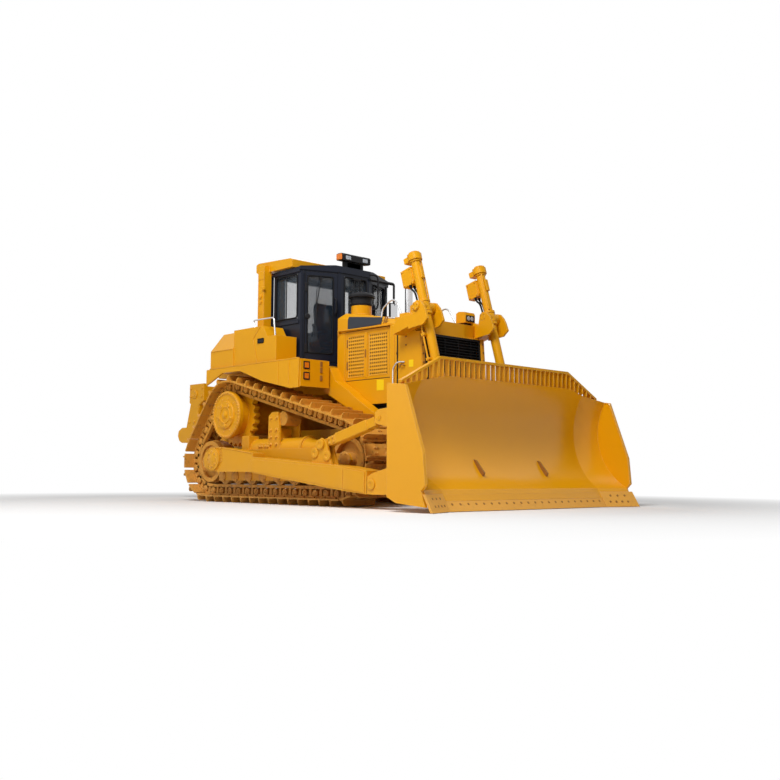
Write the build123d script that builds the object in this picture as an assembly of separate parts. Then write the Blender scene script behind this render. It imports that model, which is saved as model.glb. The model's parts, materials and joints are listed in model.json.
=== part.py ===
"""Track-type dozer with a semi-U blade and a single-shank ripper.

Millimetres.  +X is forward, +Y is the machine's left, +Z is up.  The origin is on the
ground, below the middle of the overall length.  Each node is one STEP file in parts/.
"""
from build123d import *
import os
from math import atan2, cos, degrees, hypot, pi, radians, sin

# ---------------------------------------------------------------- driving dimensions
GAUGE_HALF = 1125            # track centre line from the machine's centre line
SHOE_WIDTH = 610
SHOE_COUNT = 43

SPROCKET = (-1120, 1390)     # (x, z) of the three corners that the track runs round
REAR_IDLER = (-1720, 650)
FRONT_IDLER = (1730, 650)
PIN_RADIUS = 474             # track pin line round each corner
PLATE_OUT = 92               # shoe plate's outer face above the pin line
PLATE_THICK = 24
GROUSER = 84                 # height of the bar on each shoe
TREAD_IN = 106               # rail tread below the pin line

TRUNNION = (-970, 680)       # push arm pivot
YOKE = (2664, 2766)          # lift cylinder pivot at the radiator guard
ROD_EYE = (3296, 500)        # lift rod's eye on the back of the blade
LIFT_Y = 690
ARM_Y = (1475, 1745)         # inner and outer faces of the push arm
BLADE_HALF = 2157

RIPPER_LOW = (-2411, 585)    # lower pivot of the ripper arm on the rear case
RIPPER_ARM = 1200
RIPPER_RAISED = 27           # degrees that the arm stands above level
RIPPER_LINK = (60, 775)      # from each lower pivot of the linkage to the upper one
RIPPER_END = -4238

HOOD_HALF = 620
GUARD_HALF = 670
DECK_Z = 2150                # top of the fenders

os.makedirs("parts", exist_ok=True)


# ---------------------------------------------------------------- ways of making a piece
def block(x, y, z):
    """A box from its (low, high) places along each axis."""
    centre = [(low + high) / 2 for low, high in (x, y, z)]
    return Pos(*centre) * Box(x[1] - x[0], y[1] - y[0], z[1] - z[0])


def side_plate(outline, y):
    """A plate with an (x, z) outline between two places across the machine."""
    face = make_face(Plane.XZ * Polyline(*outline, close=True))
    return extrude(Pos(0, y[1], 0) * face, amount=y[1] - y[0], dir=(0, -1, 0))


def flat_plate(outline, z):
    """A plate with an (x, y) outline between two heights."""
    face = make_face(Polyline(*outline, close=True))
    return extrude(Pos(0, 0, z[0]) * face, amount=z[1] - z[0], dir=(0, 0, 1))


def cross_bar(centre, radius, y):
    """A round bar across the machine at an (x, z) centre."""
    bar = Rot(90, 0, 0) * Cylinder(radius, y[1] - y[0])
    return Pos(centre[0], (y[0] + y[1]) / 2, centre[1]) * bar


def upright(centre, radius, z):
    """A round post at an (x, y) centre."""
    return Pos(centre[0], centre[1], (z[0] + z[1]) / 2) * Cylinder(radius, z[1] - z[0])


def along(start, end, y):
    """The frame at an (x, z) start whose +Z runs to an (x, z) end, in the plane of y."""
    tilt = degrees(atan2(end[0] - start[0], end[1] - start[1]))
    return Pos(start[0], y, start[1]) * Rot(0, tilt, 0)


def to_left(shape):
    """The same piece on the other side of the machine."""
    return mirror(shape, about=Plane.XZ)


def both(shape):
    """The piece and its twin on the other side."""
    return Compound([*shape.solids(), *to_left(shape).solids()])


def save(name, shape):
    """Writes one node."""
    export_step(shape, f"parts/{name}.step")


def save_pair(name, shape):
    """Writes a right-hand piece and its left-hand twin."""
    save(f"{name}_right", shape)
    save(f"{name}_left", to_left(shape))


# ---------------------------------------------------------------- track
def loop_point(distance):
    """Place (x, z) and heading of the pin line, from the top of the sprocket rearwards."""
    corners = [SPROCKET, REAR_IDLER, FRONT_IDLER]
    travelled = 0
    while True:
        for index, corner in enumerate(corners):
            before = corners[index - 1]
            after = corners[(index + 1) % 3]
            heading_in = atan2(corner[1] - before[1], corner[0] - before[0])
            heading_out = atan2(after[1] - corner[1], after[0] - corner[0])
            turn = (heading_out - heading_in) % (2 * pi)
            arc = turn * PIN_RADIUS
            if distance < travelled + arc:
                heading = heading_in + (distance - travelled) / PIN_RADIUS
                return (corner[0] + PIN_RADIUS * sin(heading),
                        corner[1] - PIN_RADIUS * cos(heading), heading)
            travelled += arc
            run = hypot(after[0] - corner[0], after[1] - corner[1])
            if distance < travelled + run:
                gone = distance - travelled
                return (corner[0] + PIN_RADIUS * sin(heading_out) + gone * cos(heading_out),
                        corner[1] - PIN_RADIUS * cos(heading_out) + gone * sin(heading_out),
                        heading_out)
            travelled += run


def loop_length():
    corners = [SPROCKET, REAR_IDLER, FRONT_IDLER]
    runs = sum(hypot(a[0] - b[0], a[1] - b[1]) for a, b in zip(corners, corners[1:] + corners[:1]))
    return runs + 2 * pi * PIN_RADIUS


def track():
    """Right track: shoe plates with grousers, on two rails of links."""
    pitch = loop_length() / SHOE_COUNT
    pins = [loop_point(index * pitch) for index in range(SHOE_COUNT)]
    shoe_outer, shoe_inner, rail_outer, rail_inner = [], [], [], []
    for index, pin in enumerate(pins):
        after = pins[(index + 1) % SHOE_COUNT]
        before = pins[index - 1]
        length = hypot(after[0] - pin[0], after[1] - pin[1])
        along_x, along_z = (after[0] - pin[0]) / length, (after[1] - pin[1]) / length

        def at(travel, out):
            return (pin[0] + along_x * travel + along_z * out,
                    pin[1] + along_z * travel - along_x * out)

        for travel, out in [(3, PLATE_OUT), (36, PLATE_OUT), (46, PLATE_OUT + GROUSER),
                            (62, PLATE_OUT + GROUSER), (72, PLATE_OUT), (length - 3, PLATE_OUT)]:
            shoe_outer.append(at(travel, out))
        shoe_inner += [at(3, PLATE_OUT - PLATE_THICK), at(length - 3, PLATE_OUT - PLATE_THICK)]
        bend_x = (pin[0] - before[0]) / length + along_x
        bend_z = (pin[1] - before[1]) / length + along_z
        size = (bend_x ** 2 + bend_z ** 2) / 2
        for ring, out in ((rail_outer, PLATE_OUT - PLATE_THICK + 1), (rail_inner, -TREAD_IN)):
            ring.append((pin[0] + bend_z * out / size, pin[1] - bend_x * out / size))
    half = SHOE_WIDTH / 2
    across = (-GAUGE_HALF - half, -GAUGE_HALF + half)
    shoes = side_plate(shoe_outer, across) - side_plate(shoe_inner, across)
    rails = [side_plate(rail_outer, y) - side_plate(rail_inner, y)
             for y in ((-GAUGE_HALF - 150, -GAUGE_HALF - 70), (-GAUGE_HALF + 70, -GAUGE_HALF + 150))]
    return shoes + rails


save_pair("track", track())

# ---------------------------------------------------------------- wheels inside the track
IDLER_RADIUS = 350
ROLLER_RADIUS = 128
ROLLER_COUNT = 8
ROLLER_FIRST = -1270
ROLLER_STEP = 360
TREAD_Z = FRONT_IDLER[1] - PIN_RADIUS + TREAD_IN          # top face of the lower rails
ROLLER_Z = TREAD_Z + ROLLER_RADIUS + 2
CARRIER = (230, 1290)
CARRIER_RADIUS = 110


def wheels():
    """Right side's two idlers, eight track rollers and the carrier roller."""
    middle = -GAUGE_HALF
    solids = []
    for place in (REAR_IDLER, FRONT_IDLER):
        rim = cross_bar(place, IDLER_RADIUS - 14, (middle - 150, middle + 150))
        rim += cross_bar(place, IDLER_RADIUS + 6, (middle - 60, middle + 60))
        for side in (-1, 1):
            low, high = sorted((side * 70, side * 152))
            rim -= cross_bar(place, IDLER_RADIUS - 80, (middle + low, middle + high))
        rim += cross_bar(place, 110, (middle - 166, middle + 166))
        rim += cross_bar(place, 60, (middle - 184, middle + 184))
        solids.append(rim)
    for index in range(ROLLER_COUNT):
        place = (ROLLER_FIRST + index * ROLLER_STEP, ROLLER_Z)
        roller = cross_bar(place, ROLLER_RADIUS, (middle - 150, middle + 150))
        roller -= cross_bar(place, ROLLER_RADIUS + 9, (middle - 62, middle + 62)) - cross_bar(
            place, ROLLER_RADIUS - 30, (middle - 62, middle + 62))
        roller += cross_bar(place, 70, (middle - 166, middle + 166))
        roller += cross_bar(place, 45, (middle - 184, middle + 184))
        solids.append(roller)
    solids.append(cross_bar(CARRIER, CARRIER_RADIUS, (middle - 150, middle + 120)))
    return Compound([solid for piece in solids for solid in piece.solids()])


save("wheels", both(wheels()))


def sprocket():
    """Right sprocket with 25 teeth, and its final drive hub."""
    teeth, root, tip = 25, 452, 500
    profile = []
    for index in range(teeth):
        for offset, radius in ((-0.34, root), (-0.12, tip), (0.12, tip), (0.34, root)):
            turn = 2 * pi * (index + offset) / teeth
            profile.append((SPROCKET[0] + radius * cos(turn), SPROCKET[1] + radius * sin(turn)))
    middle = -GAUGE_HALF
    rim = side_plate(profile, (middle - 48, middle + 48))
    hub = cross_bar(SPROCKET, 325, (middle - 190, middle + 150))
    cover = cross_bar(SPROCKET, 380, (middle - 262, middle - 190))
    cap = cross_bar(SPROCKET, 215, (middle - 285, middle - 262))
    return rim + hub + cover + cap


save("sprockets", both(sprocket()))

# ---------------------------------------------------------------- roller frames
FRAME_Y = (-GAUGE_HALF - 150, -GAUGE_HALF + 150)


def roller_frame():
    """Right roller frame: box beam, idler yokes, roller guards and push arm trunnion."""
    beam = side_plate([(-1230, 560), (-1330, 640), (-1250, 830), (1180, 830), (1330, 740),
                       (1330, 640), (1250, 560)], FRAME_Y)
    pieces = [beam]
    for side in (-1, 1):
        low, high = sorted((-GAUGE_HALF + side * 166, -GAUGE_HALF + side * 204))
        guard = side_plate([(-1320, 345), (-1420, 470), (-1500, 545), (-1790, 560), (-1850, 650),
                            (-1790, 740), (-1500, 745), (-1330, 830), (1230, 830), (1500, 745),
                            (1800, 740), (1860, 650), (1800, 560), (1500, 545), (1420, 470),
                            (1320, 345)], (low, high))
        pieces.append(guard)
        inner, outer = sorted((-GAUGE_HALF + side * 148, -GAUGE_HALF + side * 168))
        pieces.append(block((-1220, 1170), (inner, outer), (600, 800)))
    frame = pieces[0]
    for piece in pieces[1:]:
        frame += piece
    for place in (REAR_IDLER, FRONT_IDLER):
        frame -= cross_bar(place, 61, (-GAUGE_HALF - 210, -GAUGE_HALF + 210))
    for index in range(ROLLER_COUNT):
        place = (ROLLER_FIRST + index * ROLLER_STEP, ROLLER_Z)
        frame -= cross_bar(place, 46, (-GAUGE_HALF - 210, -GAUGE_HALF + 210))
        frame -= cross_bar(place, ROLLER_RADIUS + 14, (-GAUGE_HALF - 160, -GAUGE_HALF + 160))
    bracket = block((CARRIER[0] - 70, CARRIER[0] + 70), (-GAUGE_HALF + 120, -GAUGE_HALF + 150),
                    (820, CARRIER[1] + 60))
    frame += bracket
    frame += cross_bar(TRUNNION, 130, (-1400, -GAUGE_HALF - 150))
    frame += cross_bar(TRUNNION, 90, (-1700, -GAUGE_HALF - 150))
    return frame


save("roller_frames", both(roller_frame()))

# ---------------------------------------------------------------- main frame and engine
CASE_HALF = 480


def rear_case():
    """Transmission case with the sprockets' cross housing and the pivot shaft of the frames."""
    inner_end = GAUGE_HALF - 150
    case = side_plate([(-2060, 560), (-2060, 1560), (-1900, 1700), (-500, 1700), (-420, 1500),
                       (-420, 520), (-1900, 520)], (-CASE_HALF, CASE_HALF))
    case += cross_bar(SPROCKET, 300, (-inner_end, inner_end))
    return case + cross_bar(TRUNNION, 120, (-GAUGE_HALF + 204, GAUGE_HALF - 204))


save("rear_case", rear_case())


def main_frame():
    """Side rails with the hood's brackets, nose, belly guard and equalizer bar."""
    frame = block((-420, 2300), (-460, 460), (520, 562))
    for side in (-1, 1):
        frame += side_plate([(-420, 560), (-420, 1150), (2300, 1150), (2560, 1000), (2560, 700),
                             (2300, 560)], sorted((side * 380, side * 460)))
        for x in (800, 1960):
            frame += block((x, x + 40), sorted((side * 400, side * 584)), (1140, 1560))
    frame += block((2300, 2520), (-380, 380), (640, 1120))
    return frame + block((560, 760), (-GAUGE_HALF + 204, GAUGE_HALF - 204), (600, 740))


save("main_frame", main_frame())

save("engine", block((770, 1960), (-400, 400), (1150, 2420)))

# ---------------------------------------------------------------- hood and engine bay
BAY = (720, 2004)
HOOD_REAR_Z = 2915
HOOD_FRONT_Z = 2712
DOOR_X = (930, 1880)
DOOR_Z = (1850, 2600)
HOOD_WALL = 36
SHOULDER_CUT = 130           # side of the square prism that bevels each shoulder


def hood():
    """Hood with bevelled shoulders, side walls and the two door openings."""
    def shell(inset):
        outline = [(BAY[0] + inset, 1480 - (inset > 0) * 9), (BAY[0] + inset, HOOD_REAR_Z - 90),
                   (BAY[0] + 90, HOOD_REAR_Z - inset), (BAY[1] + (inset > 0) * 9, HOOD_FRONT_Z - inset),
                   (BAY[1] + (inset > 0) * 9, 1480 - (inset > 0) * 9)]
        half = HOOD_HALF - inset
        body = side_plate(outline, (-half, half))
        slope = atan2(HOOD_REAR_Z - HOOD_FRONT_Z, BAY[1] - BAY[0] - 90)
        middle = (BAY[0] + BAY[1]) / 2
        top = HOOD_REAR_Z - inset - (middle - BAY[0] - 90) * sin(slope) / cos(slope)
        for side in (-1, 1):
            wedge = Rot(0, degrees(slope), 0) * Rot(45, 0, 0) * Box(3000, SHOULDER_CUT, SHOULDER_CUT)
            body -= Pos(middle, side * half, top) * wedge
        return body

    bay = shell(0) - shell(HOOD_WALL)
    for side in (-1, 1):
        door_y = sorted((side * (HOOD_HALF + 10), side * (HOOD_HALF - HOOD_WALL - 10)))
        bay -= block(DOOR_X, door_y, DOOR_Z)
    return bay


HOOD = hood()
save("hood", HOOD)

DOOR_GAP = 6


def engine_door():
    """Right engine door: framed panel with two recessed grille fields and two pull bars."""
    y = (-HOOD_HALF, -HOOD_HALF + HOOD_WALL - 6)
    door = block((DOOR_X[0] + DOOR_GAP, DOOR_X[1] - DOOR_GAP), y,
                 (DOOR_Z[0] + DOOR_GAP, DOOR_Z[1] - DOOR_GAP))
    for field in ((970, 1330), (1420, 1840)):
        door -= block(field, (-HOOD_HALF - 1, -HOOD_HALF + 10), (1900, 2530))
    return door


save_pair("engine_door", engine_door())

# ---------------------------------------------------------------- radiator guard and grille
GUARD_REAR = 2040
GUARD_WALL = 50
GRILLE_HALF = 600
GRILLE_Z = (1300, 2440)
HEADER_Z = 2455              # the header's ends turn back above this height
HEADER_FLAT = 253            # half width of the header's flat middle
HEADER_END_X = 2454


def front_x(z):
    """The radiator guard's front face at a height."""
    return 2556 + (2360 - z) * 0.065


def guard_form():
    """The guard's outer form: a box under a header whose ends turn back."""
    outline = [(GUARD_REAR, 1150), (GUARD_REAR, 2702), (2400, 2672), (2550, 2642),
               (front_x(HEADER_Z), HEADER_Z), (front_x(1150), 1150)]
    guard = side_plate(outline, (-GUARD_HALF, GUARD_HALF))
    for side in (-1, 1):
        turned_back = [(HEADER_END_X, side * GUARD_HALF), (2550, side * HEADER_FLAT),
                       (2700, side * HEADER_FLAT), (2700, side * 800), (HEADER_END_X, side * 800)]
        guard -= flat_plate(turned_back, (HEADER_Z, 2800))
    return guard


GUARD = guard_form()


def radiator_guard():
    """Guard with its hollow and its grille opening."""
    hollow = [(GUARD_REAR + 60, 1100), (GUARD_REAR + 60, 2640), (2380, 2610), (2430, 2570),
              (2430, HEADER_Z), (front_x(2440) - 60, 2440), (front_x(1100) - 60, 1100)]
    guard = GUARD - side_plate(hollow, (-GUARD_HALF + GUARD_WALL, GUARD_HALF - GUARD_WALL))
    return guard - block((2480, 3100), (-GRILLE_HALF, GRILLE_HALF), GRILLE_Z)


save("radiator_guard", radiator_guard())


def grille():
    """Grille: side bars, four uprights and sloping slats."""
    low, high = GRILLE_Z
    half = GRILLE_HALF

    def slab(y, z, depth):
        return side_plate([(front_x(z[0]) - depth[0], z[0]), (front_x(z[1]) - depth[0], z[1]),
                           (front_x(z[1]) - depth[1], z[1]), (front_x(z[0]) - depth[1], z[0])], y)

    bars = slab((-half, half), (low, high), (8, 56)) - slab((-half + 30, half - 30),
                                                           (low + 30, high - 30), (0, 60))
    for place in (-410, -140, 140, 410):
        bars += slab((place - 8, place + 8), (low + 20, high - 20), (30, 50))
    slats = 26
    step = (high - low - 60) / slats
    for index in range(slats):
        z = low + 30 + (index + 0.5) * step
        x = front_x(z)
        bars += side_plate([(x - 46, z + 10), (x - 42, z + 14), (x - 12, z - 8), (x - 16, z - 12)],
                           (-half + 25, half - 25))
    return bars


save("grille", grille())

# ---------------------------------------------------------------- lift cylinders
ROD_TILT = degrees(atan2(ROD_EYE[0] - YOKE[0], YOKE[1] - ROD_EYE[1]))
ROD_LENGTH = hypot(ROD_EYE[0] - YOKE[0], YOKE[1] - ROD_EYE[1])
HEAD_END = 805               # barrel above and below its trunnion pins
GLAND_END = 1040
BARREL_RADIUS = 66
BORE_RADIUS = 54
ROD_RADIUS = 38
CAP = 40                     # thickness of the head's end and of the gland
PISTON_PLACE = 466           # piston's lower face from the pivot, with the blade on the ground
YOKE_IN, YOKE_OUT = 140, 175     # inner and outer faces of the cheeks, from the cylinder's middle


def lift_barrel():
    """Right lift cylinder barrel, its domed head, gland, trunnion and valve block."""
    frame = along(YOKE, ROD_EYE, -LIFT_Y)
    tube = Pos(0, 0, (GLAND_END - HEAD_END) / 2) * Cylinder(BARREL_RADIUS, GLAND_END + HEAD_END)
    head = Pos(0, 0, -HEAD_END + 45) * Cylinder(102, 90) + Pos(80, 0, -HEAD_END + 50) * Box(160, 130, 80)
    dome = Pos(0, 0, -HEAD_END - 12) * Cylinder(72, 40)
    tube += head + dome + Pos(0, 0, GLAND_END - 40) * Cylinder(BARREL_RADIUS + 14, 80)
    tube += Rot(90, 0, 0) * Cylinder(48, 2 * YOKE_OUT) + Rot(90, 0, 0) * Cylinder(80, 2 * YOKE_IN - 12)
    tube += Cylinder(BARREL_RADIUS + 16, 130)
    tube += Pos(165, 0, -518) * Box(200, 130, 250) + Pos(60, 0, -518) * Box(100, 90, 180)
    low, high = -HEAD_END + CAP, GLAND_END - CAP
    tube -= Pos(0, 0, (low + high) / 2) * Cylinder(BORE_RADIUS, high - low)
    tube -= Pos(0, 0, GLAND_END - CAP) * Cylinder(ROD_RADIUS + 1, 3 * CAP)
    return frame * tube


save_pair("lift_barrel", lift_barrel())


def lift_rod():
    """Right lift rod with its piston and its eye, which carries the pin."""
    frame = along(YOKE, ROD_EYE, -LIFT_Y)
    rod = Pos(0, 0, (PISTON_PLACE + ROD_LENGTH) / 2) * Cylinder(ROD_RADIUS, ROD_LENGTH - PISTON_PLACE)
    rod += Pos(0, 0, PISTON_PLACE - 20) * Cylinder(BORE_RADIUS - 1, 42)
    rod += Pos(0, 0, ROD_LENGTH) * Rot(90, 0, 0) * Cylinder(72, 98)
    rod += Pos(0, 0, ROD_LENGTH) * Rot(90, 0, 0) * Cylinder(36, 200)
    return frame * rod


save_pair("lift_rod", lift_rod())


def lift_yokes():
    """Yokes that carry the lift cylinders' pins on the radiator guard's upper corners."""
    cheek = [(2500, 2465), (2585, 2650), (2615, 2812), (2672, 2848), (2735, 2835), (2800, 2765),
             (2835, 2700), (2880, 2580), (2790, 2500)]
    yoke = Part()
    for side in (-1, 1):
        near, far = sorted((side * YOKE_IN, side * YOKE_OUT))
        yoke += side_plate(cheek, (-LIFT_Y + near, -LIFT_Y + far))
    yoke -= cross_bar(YOKE, 50, (-LIFT_Y - 200, -LIFT_Y + 200))
    yoke += side_plate([(2300, 2560), (2300, 2705), (2470, 2705), (2590, 2650), (2590, 2530), (2450, 2500)],
                       (-LIFT_Y - YOKE_IN, -LIFT_Y + YOKE_IN))
    yoke += side_plate([(2210, 2415), (2210, 2540), (2290, 2620), (2440, 2660), (2590, 2660),
                        (2590, 2520), (2450, 2480)], (-LIFT_Y - YOKE_OUT, -GUARD_HALF))
    return yoke - GUARD


save("lift_yokes", both(lift_yokes()))

# ---------------------------------------------------------------- blade
EDGE_X = 4030
FOLD_Y = 1600                # the wings turn forward here
WING_TURN = 20
BLADE_TOP = 1700
PLATE = 26


KNEE_Y = 1285                # the lip falls from here to the wing's tip
WING_TIP_Z = 1530
MOLD_CENTRE = (4330, 1070)   # centre of the moldboard's curve, seen from the side
MOLD_RADIUS = 924
FOOT_Z = 270


def face_x(z, behind=0):
    """The moldboard's front at a height, or a surface that lies behind it."""
    return MOLD_CENTRE[0] - ((MOLD_RADIUS + behind) ** 2 - (z - MOLD_CENTRE[1]) ** 2) ** 0.5


def face_curve(behind=0):
    """The moldboard's arc from its foot to its lip."""
    ends = [(face_x(z, behind), z) for z in (FOOT_Z, MOLD_CENTRE[1], BLADE_TOP)]
    return ThreePointArc(*ends)


def closed_side(curve, corners):
    """A face bounded by a curve and by straight runs through the corners that follow it."""
    points = [curve @ 1, *[Vector(*corner, 0) for corner in corners], curve @ 0]
    return make_face(Plane.XZ * (Wire([curve]) + Polyline(*points)))


def moldboard_profile():
    """Side view of the moldboard plate: straight foot, then one arc up to the lip."""
    front = face_curve()
    behind = face_curve(PLATE)
    sheet = closed_side(front, [(4900, BLADE_TOP), (4900, FOOT_Z)])
    back = closed_side(behind, [(4900, BLADE_TOP), (4900, FOOT_Z)])
    foot = make_face(Plane.XZ * Polyline((EDGE_X - 92, 132), (face_x(FOOT_Z), FOOT_Z + 1),
                                         (face_x(FOOT_Z, PLATE), FOOT_Z + 1), (EDGE_X - 146, 118), close=True))
    return back - sheet + foot


def blade_front():
    """All the space in front of the moldboard."""
    front = closed_side(face_curve(), [(4900, BLADE_TOP), (4900, 100), (EDGE_X - 70, 100)])
    return winged(extrude(Pos(0, 2400, 0) * front, amount=4800, dir=(0, -1, 0)))


def winged(shape, fold_x=EDGE_X):
    """A straight section of blade with its two wings mirrored forward at the folds."""
    far = 5000
    turn = WING_TURN / 2
    centre = shape
    wings = []
    for side in (-1, 1):
        normal = (sin(radians(turn)), side * cos(radians(turn)), 0)
        fold = Plane(origin=(fold_x, side * FOLD_Y, 0), z_dir=normal)
        centre = split(centre, bisect_by=fold, keep=Keep.BOTTOM)
        wings.append((side, fold))
    result = centre
    for side, fold in wings:
        half = split(centre, bisect_by=Plane(origin=(0, 0, 0), z_dir=(0, side, 0)), keep=Keep.TOP)
        wing = mirror(half, about=fold)
        limit = block((0, far), sorted((side * 1000, side * (BLADE_HALF - 40))), (-100, far))
        result += wing & limit
    return result


def cutting_edge():
    """Cutting edge along the foot of the blade, and its two end bits."""
    edge = side_plate([(EDGE_X, 6), (EDGE_X - 100, 140), (EDGE_X - 136, 128), (EDGE_X - 34, 6)],
                      (-1636, 1636))
    bits = []
    for side in (-1, 1):
        bit = extrude(make_face(Polyline((EDGE_X - 34, side * 1640), (EDGE_X, side * 1640),
                                         (4238, side * BLADE_HALF), (4196, side * BLADE_HALF),
                                         close=True)), amount=250, dir=(-0.6, 0, 1))
        bits.append(Pos(0, 0, 6) * bit)
    return Compound([solid for piece in (edge, *bits) for solid in piece.solids()])


ARM_PIN = (2730, 320)
BRACE_LOW = (1630, 860)
BRACE_HIGH = (2850, 1180)


def moldboard():
    """Moldboard with wings, side plates, back beams, and the ears for arms and cylinders."""
    straight = extrude(Pos(0, 2400, 0) * moldboard_profile(), amount=4800, dir=(0, -1, 0))
    plate = winged(straight)
    arm_ear = [(2650, 200), (2650, 420), (2760, 470), (3420, 620), (3800, 620), (3800, 200), (2760, 190)]
    top_ear = [(2770, 1110), (2770, 1250), (2830, 1290), (3300, 1330), (3500, 1330), (3500, 1000),
               (3330, 1000), (2900, 1080)]
    lift_ear = [(3210, 440), (3198, 540), (3236, 588), (3440, 590), (3800, 640), (3800, 300), (3520, 300),
                (3326, 400)]
    beam = [(3260, 1180), (3260, 1330), (3500, 1330), (3500, 1180)]
    backing = [side_plate(beam, (-LIFT_Y + 130, LIFT_Y - 130)),
               side_plate([(3500, 350), (3900, 400), (3900, 200), (3480, 200), (3440, 260)], (-1560, 1560))]
    for side in (-1, 1):
        backing.append(side_plate(beam, sorted((side * (LIFT_Y + 130), side * 1560))))
        for outline, bands in ((arm_ear, ((1480, 1530), (1690, 1740))),
                               (top_ear, ((1500, 1540), (1680, 1720))),
                               (lift_ear, ((LIFT_Y - 85, LIFT_Y - 52), (LIFT_Y + 52, LIFT_Y + 85)))):
            for near, far in bands:
                backing.append(side_plate(outline, sorted((side * near, side * far))))
    back = backing[0]
    for piece in backing[1:]:
        back += piece
    plate += back - blade_front()
    lip = make_face(Plane.YZ * Polyline((-BLADE_HALF, WING_TIP_Z), (-KNEE_Y, BLADE_TOP), (KNEE_Y, BLADE_TOP),
                                        (BLADE_HALF, WING_TIP_Z), (BLADE_HALF, 0), (-BLADE_HALF, 0),
                                        close=True))
    plate &= extrude(Pos(2000, 0, 0) * lip, amount=3000, dir=(1, 0, 0))
    side_outline = [(3458, 1562), (3770, 1529), (4074, 702), (4108, 331), (4040, 262), (4110, 67),
                    (3620, 110), (3458, 180)]
    for side in (-1, 1):
        plate += side_plate(side_outline, sorted((side * (BLADE_HALF - 42), side * BLADE_HALF)))
    for place, radius in ((ARM_PIN, 46), (BRACE_HIGH, 31)):
        plate -= cross_bar(place, radius, (-1800, 1800))
    plate -= cross_bar(ROD_EYE, 70, (-800, 800))
    return plate - cutting_edge()


save("moldboard", moldboard())

# ---------------------------------------------------------------- rock guard and cutting edges
ROCK_X = (3530, 3596)        # back and front of the rock guard's bars
ROCK_TOP = [(-2040, 1602), (-1335, 1952), (1335, 1952), (2040, 1602)]
ROCK_FOOT = [(-2114, 1490), (-KNEE_Y, 1640), (KNEE_Y, 1640), (2114, 1490)]
ROCK_BARS = 41
ROCK_BAR = 16                # thickness of each bar


def height_at(line, y):
    """Height of a (y, z) line at a place across the machine."""
    for (y0, z0), (y1, z1) in zip(line, line[1:]):
        if y0 <= y <= y1:
            return z0 + (z1 - z0) * (y - y0) / (y1 - y0)


def rock_rail(line, height):
    """A rail that follows a (y, z) line and is this high."""
    outline = [*line, *[(y, z - height) for y, z in reversed(line)]]
    face = make_face(Plane.YZ * Polyline(*outline, close=True))
    return extrude(Pos(ROCK_X[0], 0, 0) * face, amount=ROCK_X[1] - ROCK_X[0], dir=(1, 0, 0))


def rock_guard():
    """Grating on top of the moldboard: upright bars between a top rail and a foot rail."""
    guard = rock_rail(ROCK_TOP, 34) + rock_rail(ROCK_FOOT, 40)
    for index in range(ROCK_BARS):
        y = (index / (ROCK_BARS - 1) - 0.5) * 2 * 1990
        top, foot = height_at(ROCK_TOP, y) - 10, height_at(ROCK_FOOT, y) - 20
        guard += block(ROCK_X, (y - ROCK_BAR / 2, y + ROCK_BAR / 2), (foot, top))
    front = closed_side(face_curve(PLATE), [(4900, BLADE_TOP), (4900, FOOT_Z)])
    return guard - winged(extrude(Pos(0, 2400, 0) * front, amount=4800, dir=(0, -1, 0)))


save("rock_guard", rock_guard())
save("cutting_edge", cutting_edge())

# ---------------------------------------------------------------- push arms, brace and tilt cylinder
ARM_MIDDLE = -(ARM_Y[0] + ARM_Y[1]) / 2


def push_arm():
    """Right push arm: tapering box beam from the trunnion to the blade's lower pin."""
    rear = side_plate([(-1230, 560), (-1260, 700), (-1200, 810), (-1050, 870), (-700, 850),
                       (60, 760), (60, 480), (-700, 480), (-1100, 490)], (-1700, -1480))
    front = side_plate([(20, 590), (120, 700), (1000, 640), (2190, 560), (2640, 500), (2640, 190),
                        (2190, 230), (520, 420), (20, 480)], (-ARM_Y[1], -ARM_Y[0]))
    tongue = side_plate([(2600, 210), (2600, 440), (2760, 420), (2830, 320), (2760, 215)],
                        (-1680, -1540))
    arm = rear + front + tongue
    for y in ((-1580, -1545), (-1675, -1640)):
        arm += side_plate([(1430, 600), (1530, 900), (1630, 950), (1730, 900), (1850, 580)], y)
    arm += cross_bar(TRUNNION, 175, (-1735, -1480))
    arm -= cross_bar(TRUNNION, 92, (-1705, -1400))
    arm -= cross_bar(ARM_PIN, 46, (-1800, -1400))
    arm -= cross_bar(BRACE_LOW, 31, (-1800, -1400))
    return arm


save("push_arms", both(push_arm()))


def blade_pins():
    """Pins at the front of the push arms and at both ends of the brace and the tilt cylinder."""
    pins = cross_bar(ARM_PIN, 45, (-1742, -1478))
    low = cross_bar(BRACE_LOW, 30, (-1690, -1530))
    high = cross_bar(BRACE_HIGH, 30, (-1728, -1492))
    return Compound([*pins.solids(), *low.solids(), *high.solids()])


save("blade_pins", both(blade_pins()))


def strut_ends(length):
    """The two eyes of a strut along +Z."""
    return [Pos(0, 0, place) * Rot(90, 0, 0) * (Cylinder(62, 56) - Cylinder(31, 60))
            for place in (0, length)]


def brace():
    """Right brace: box strut between the push arm and the blade's upper ears."""
    length = hypot(BRACE_HIGH[0] - BRACE_LOW[0], BRACE_HIGH[1] - BRACE_LOW[1])
    strut = Pos(0, 0, length / 2) * Box(120, 110, length - 300)
    strut += Pos(0, 0, length / 2) * Box(70, 50, length - 110)
    for eye in strut_ends(length):
        strut += eye
    return along(BRACE_LOW, BRACE_HIGH, ARM_MIDDLE) * strut


save("brace", brace())


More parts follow.
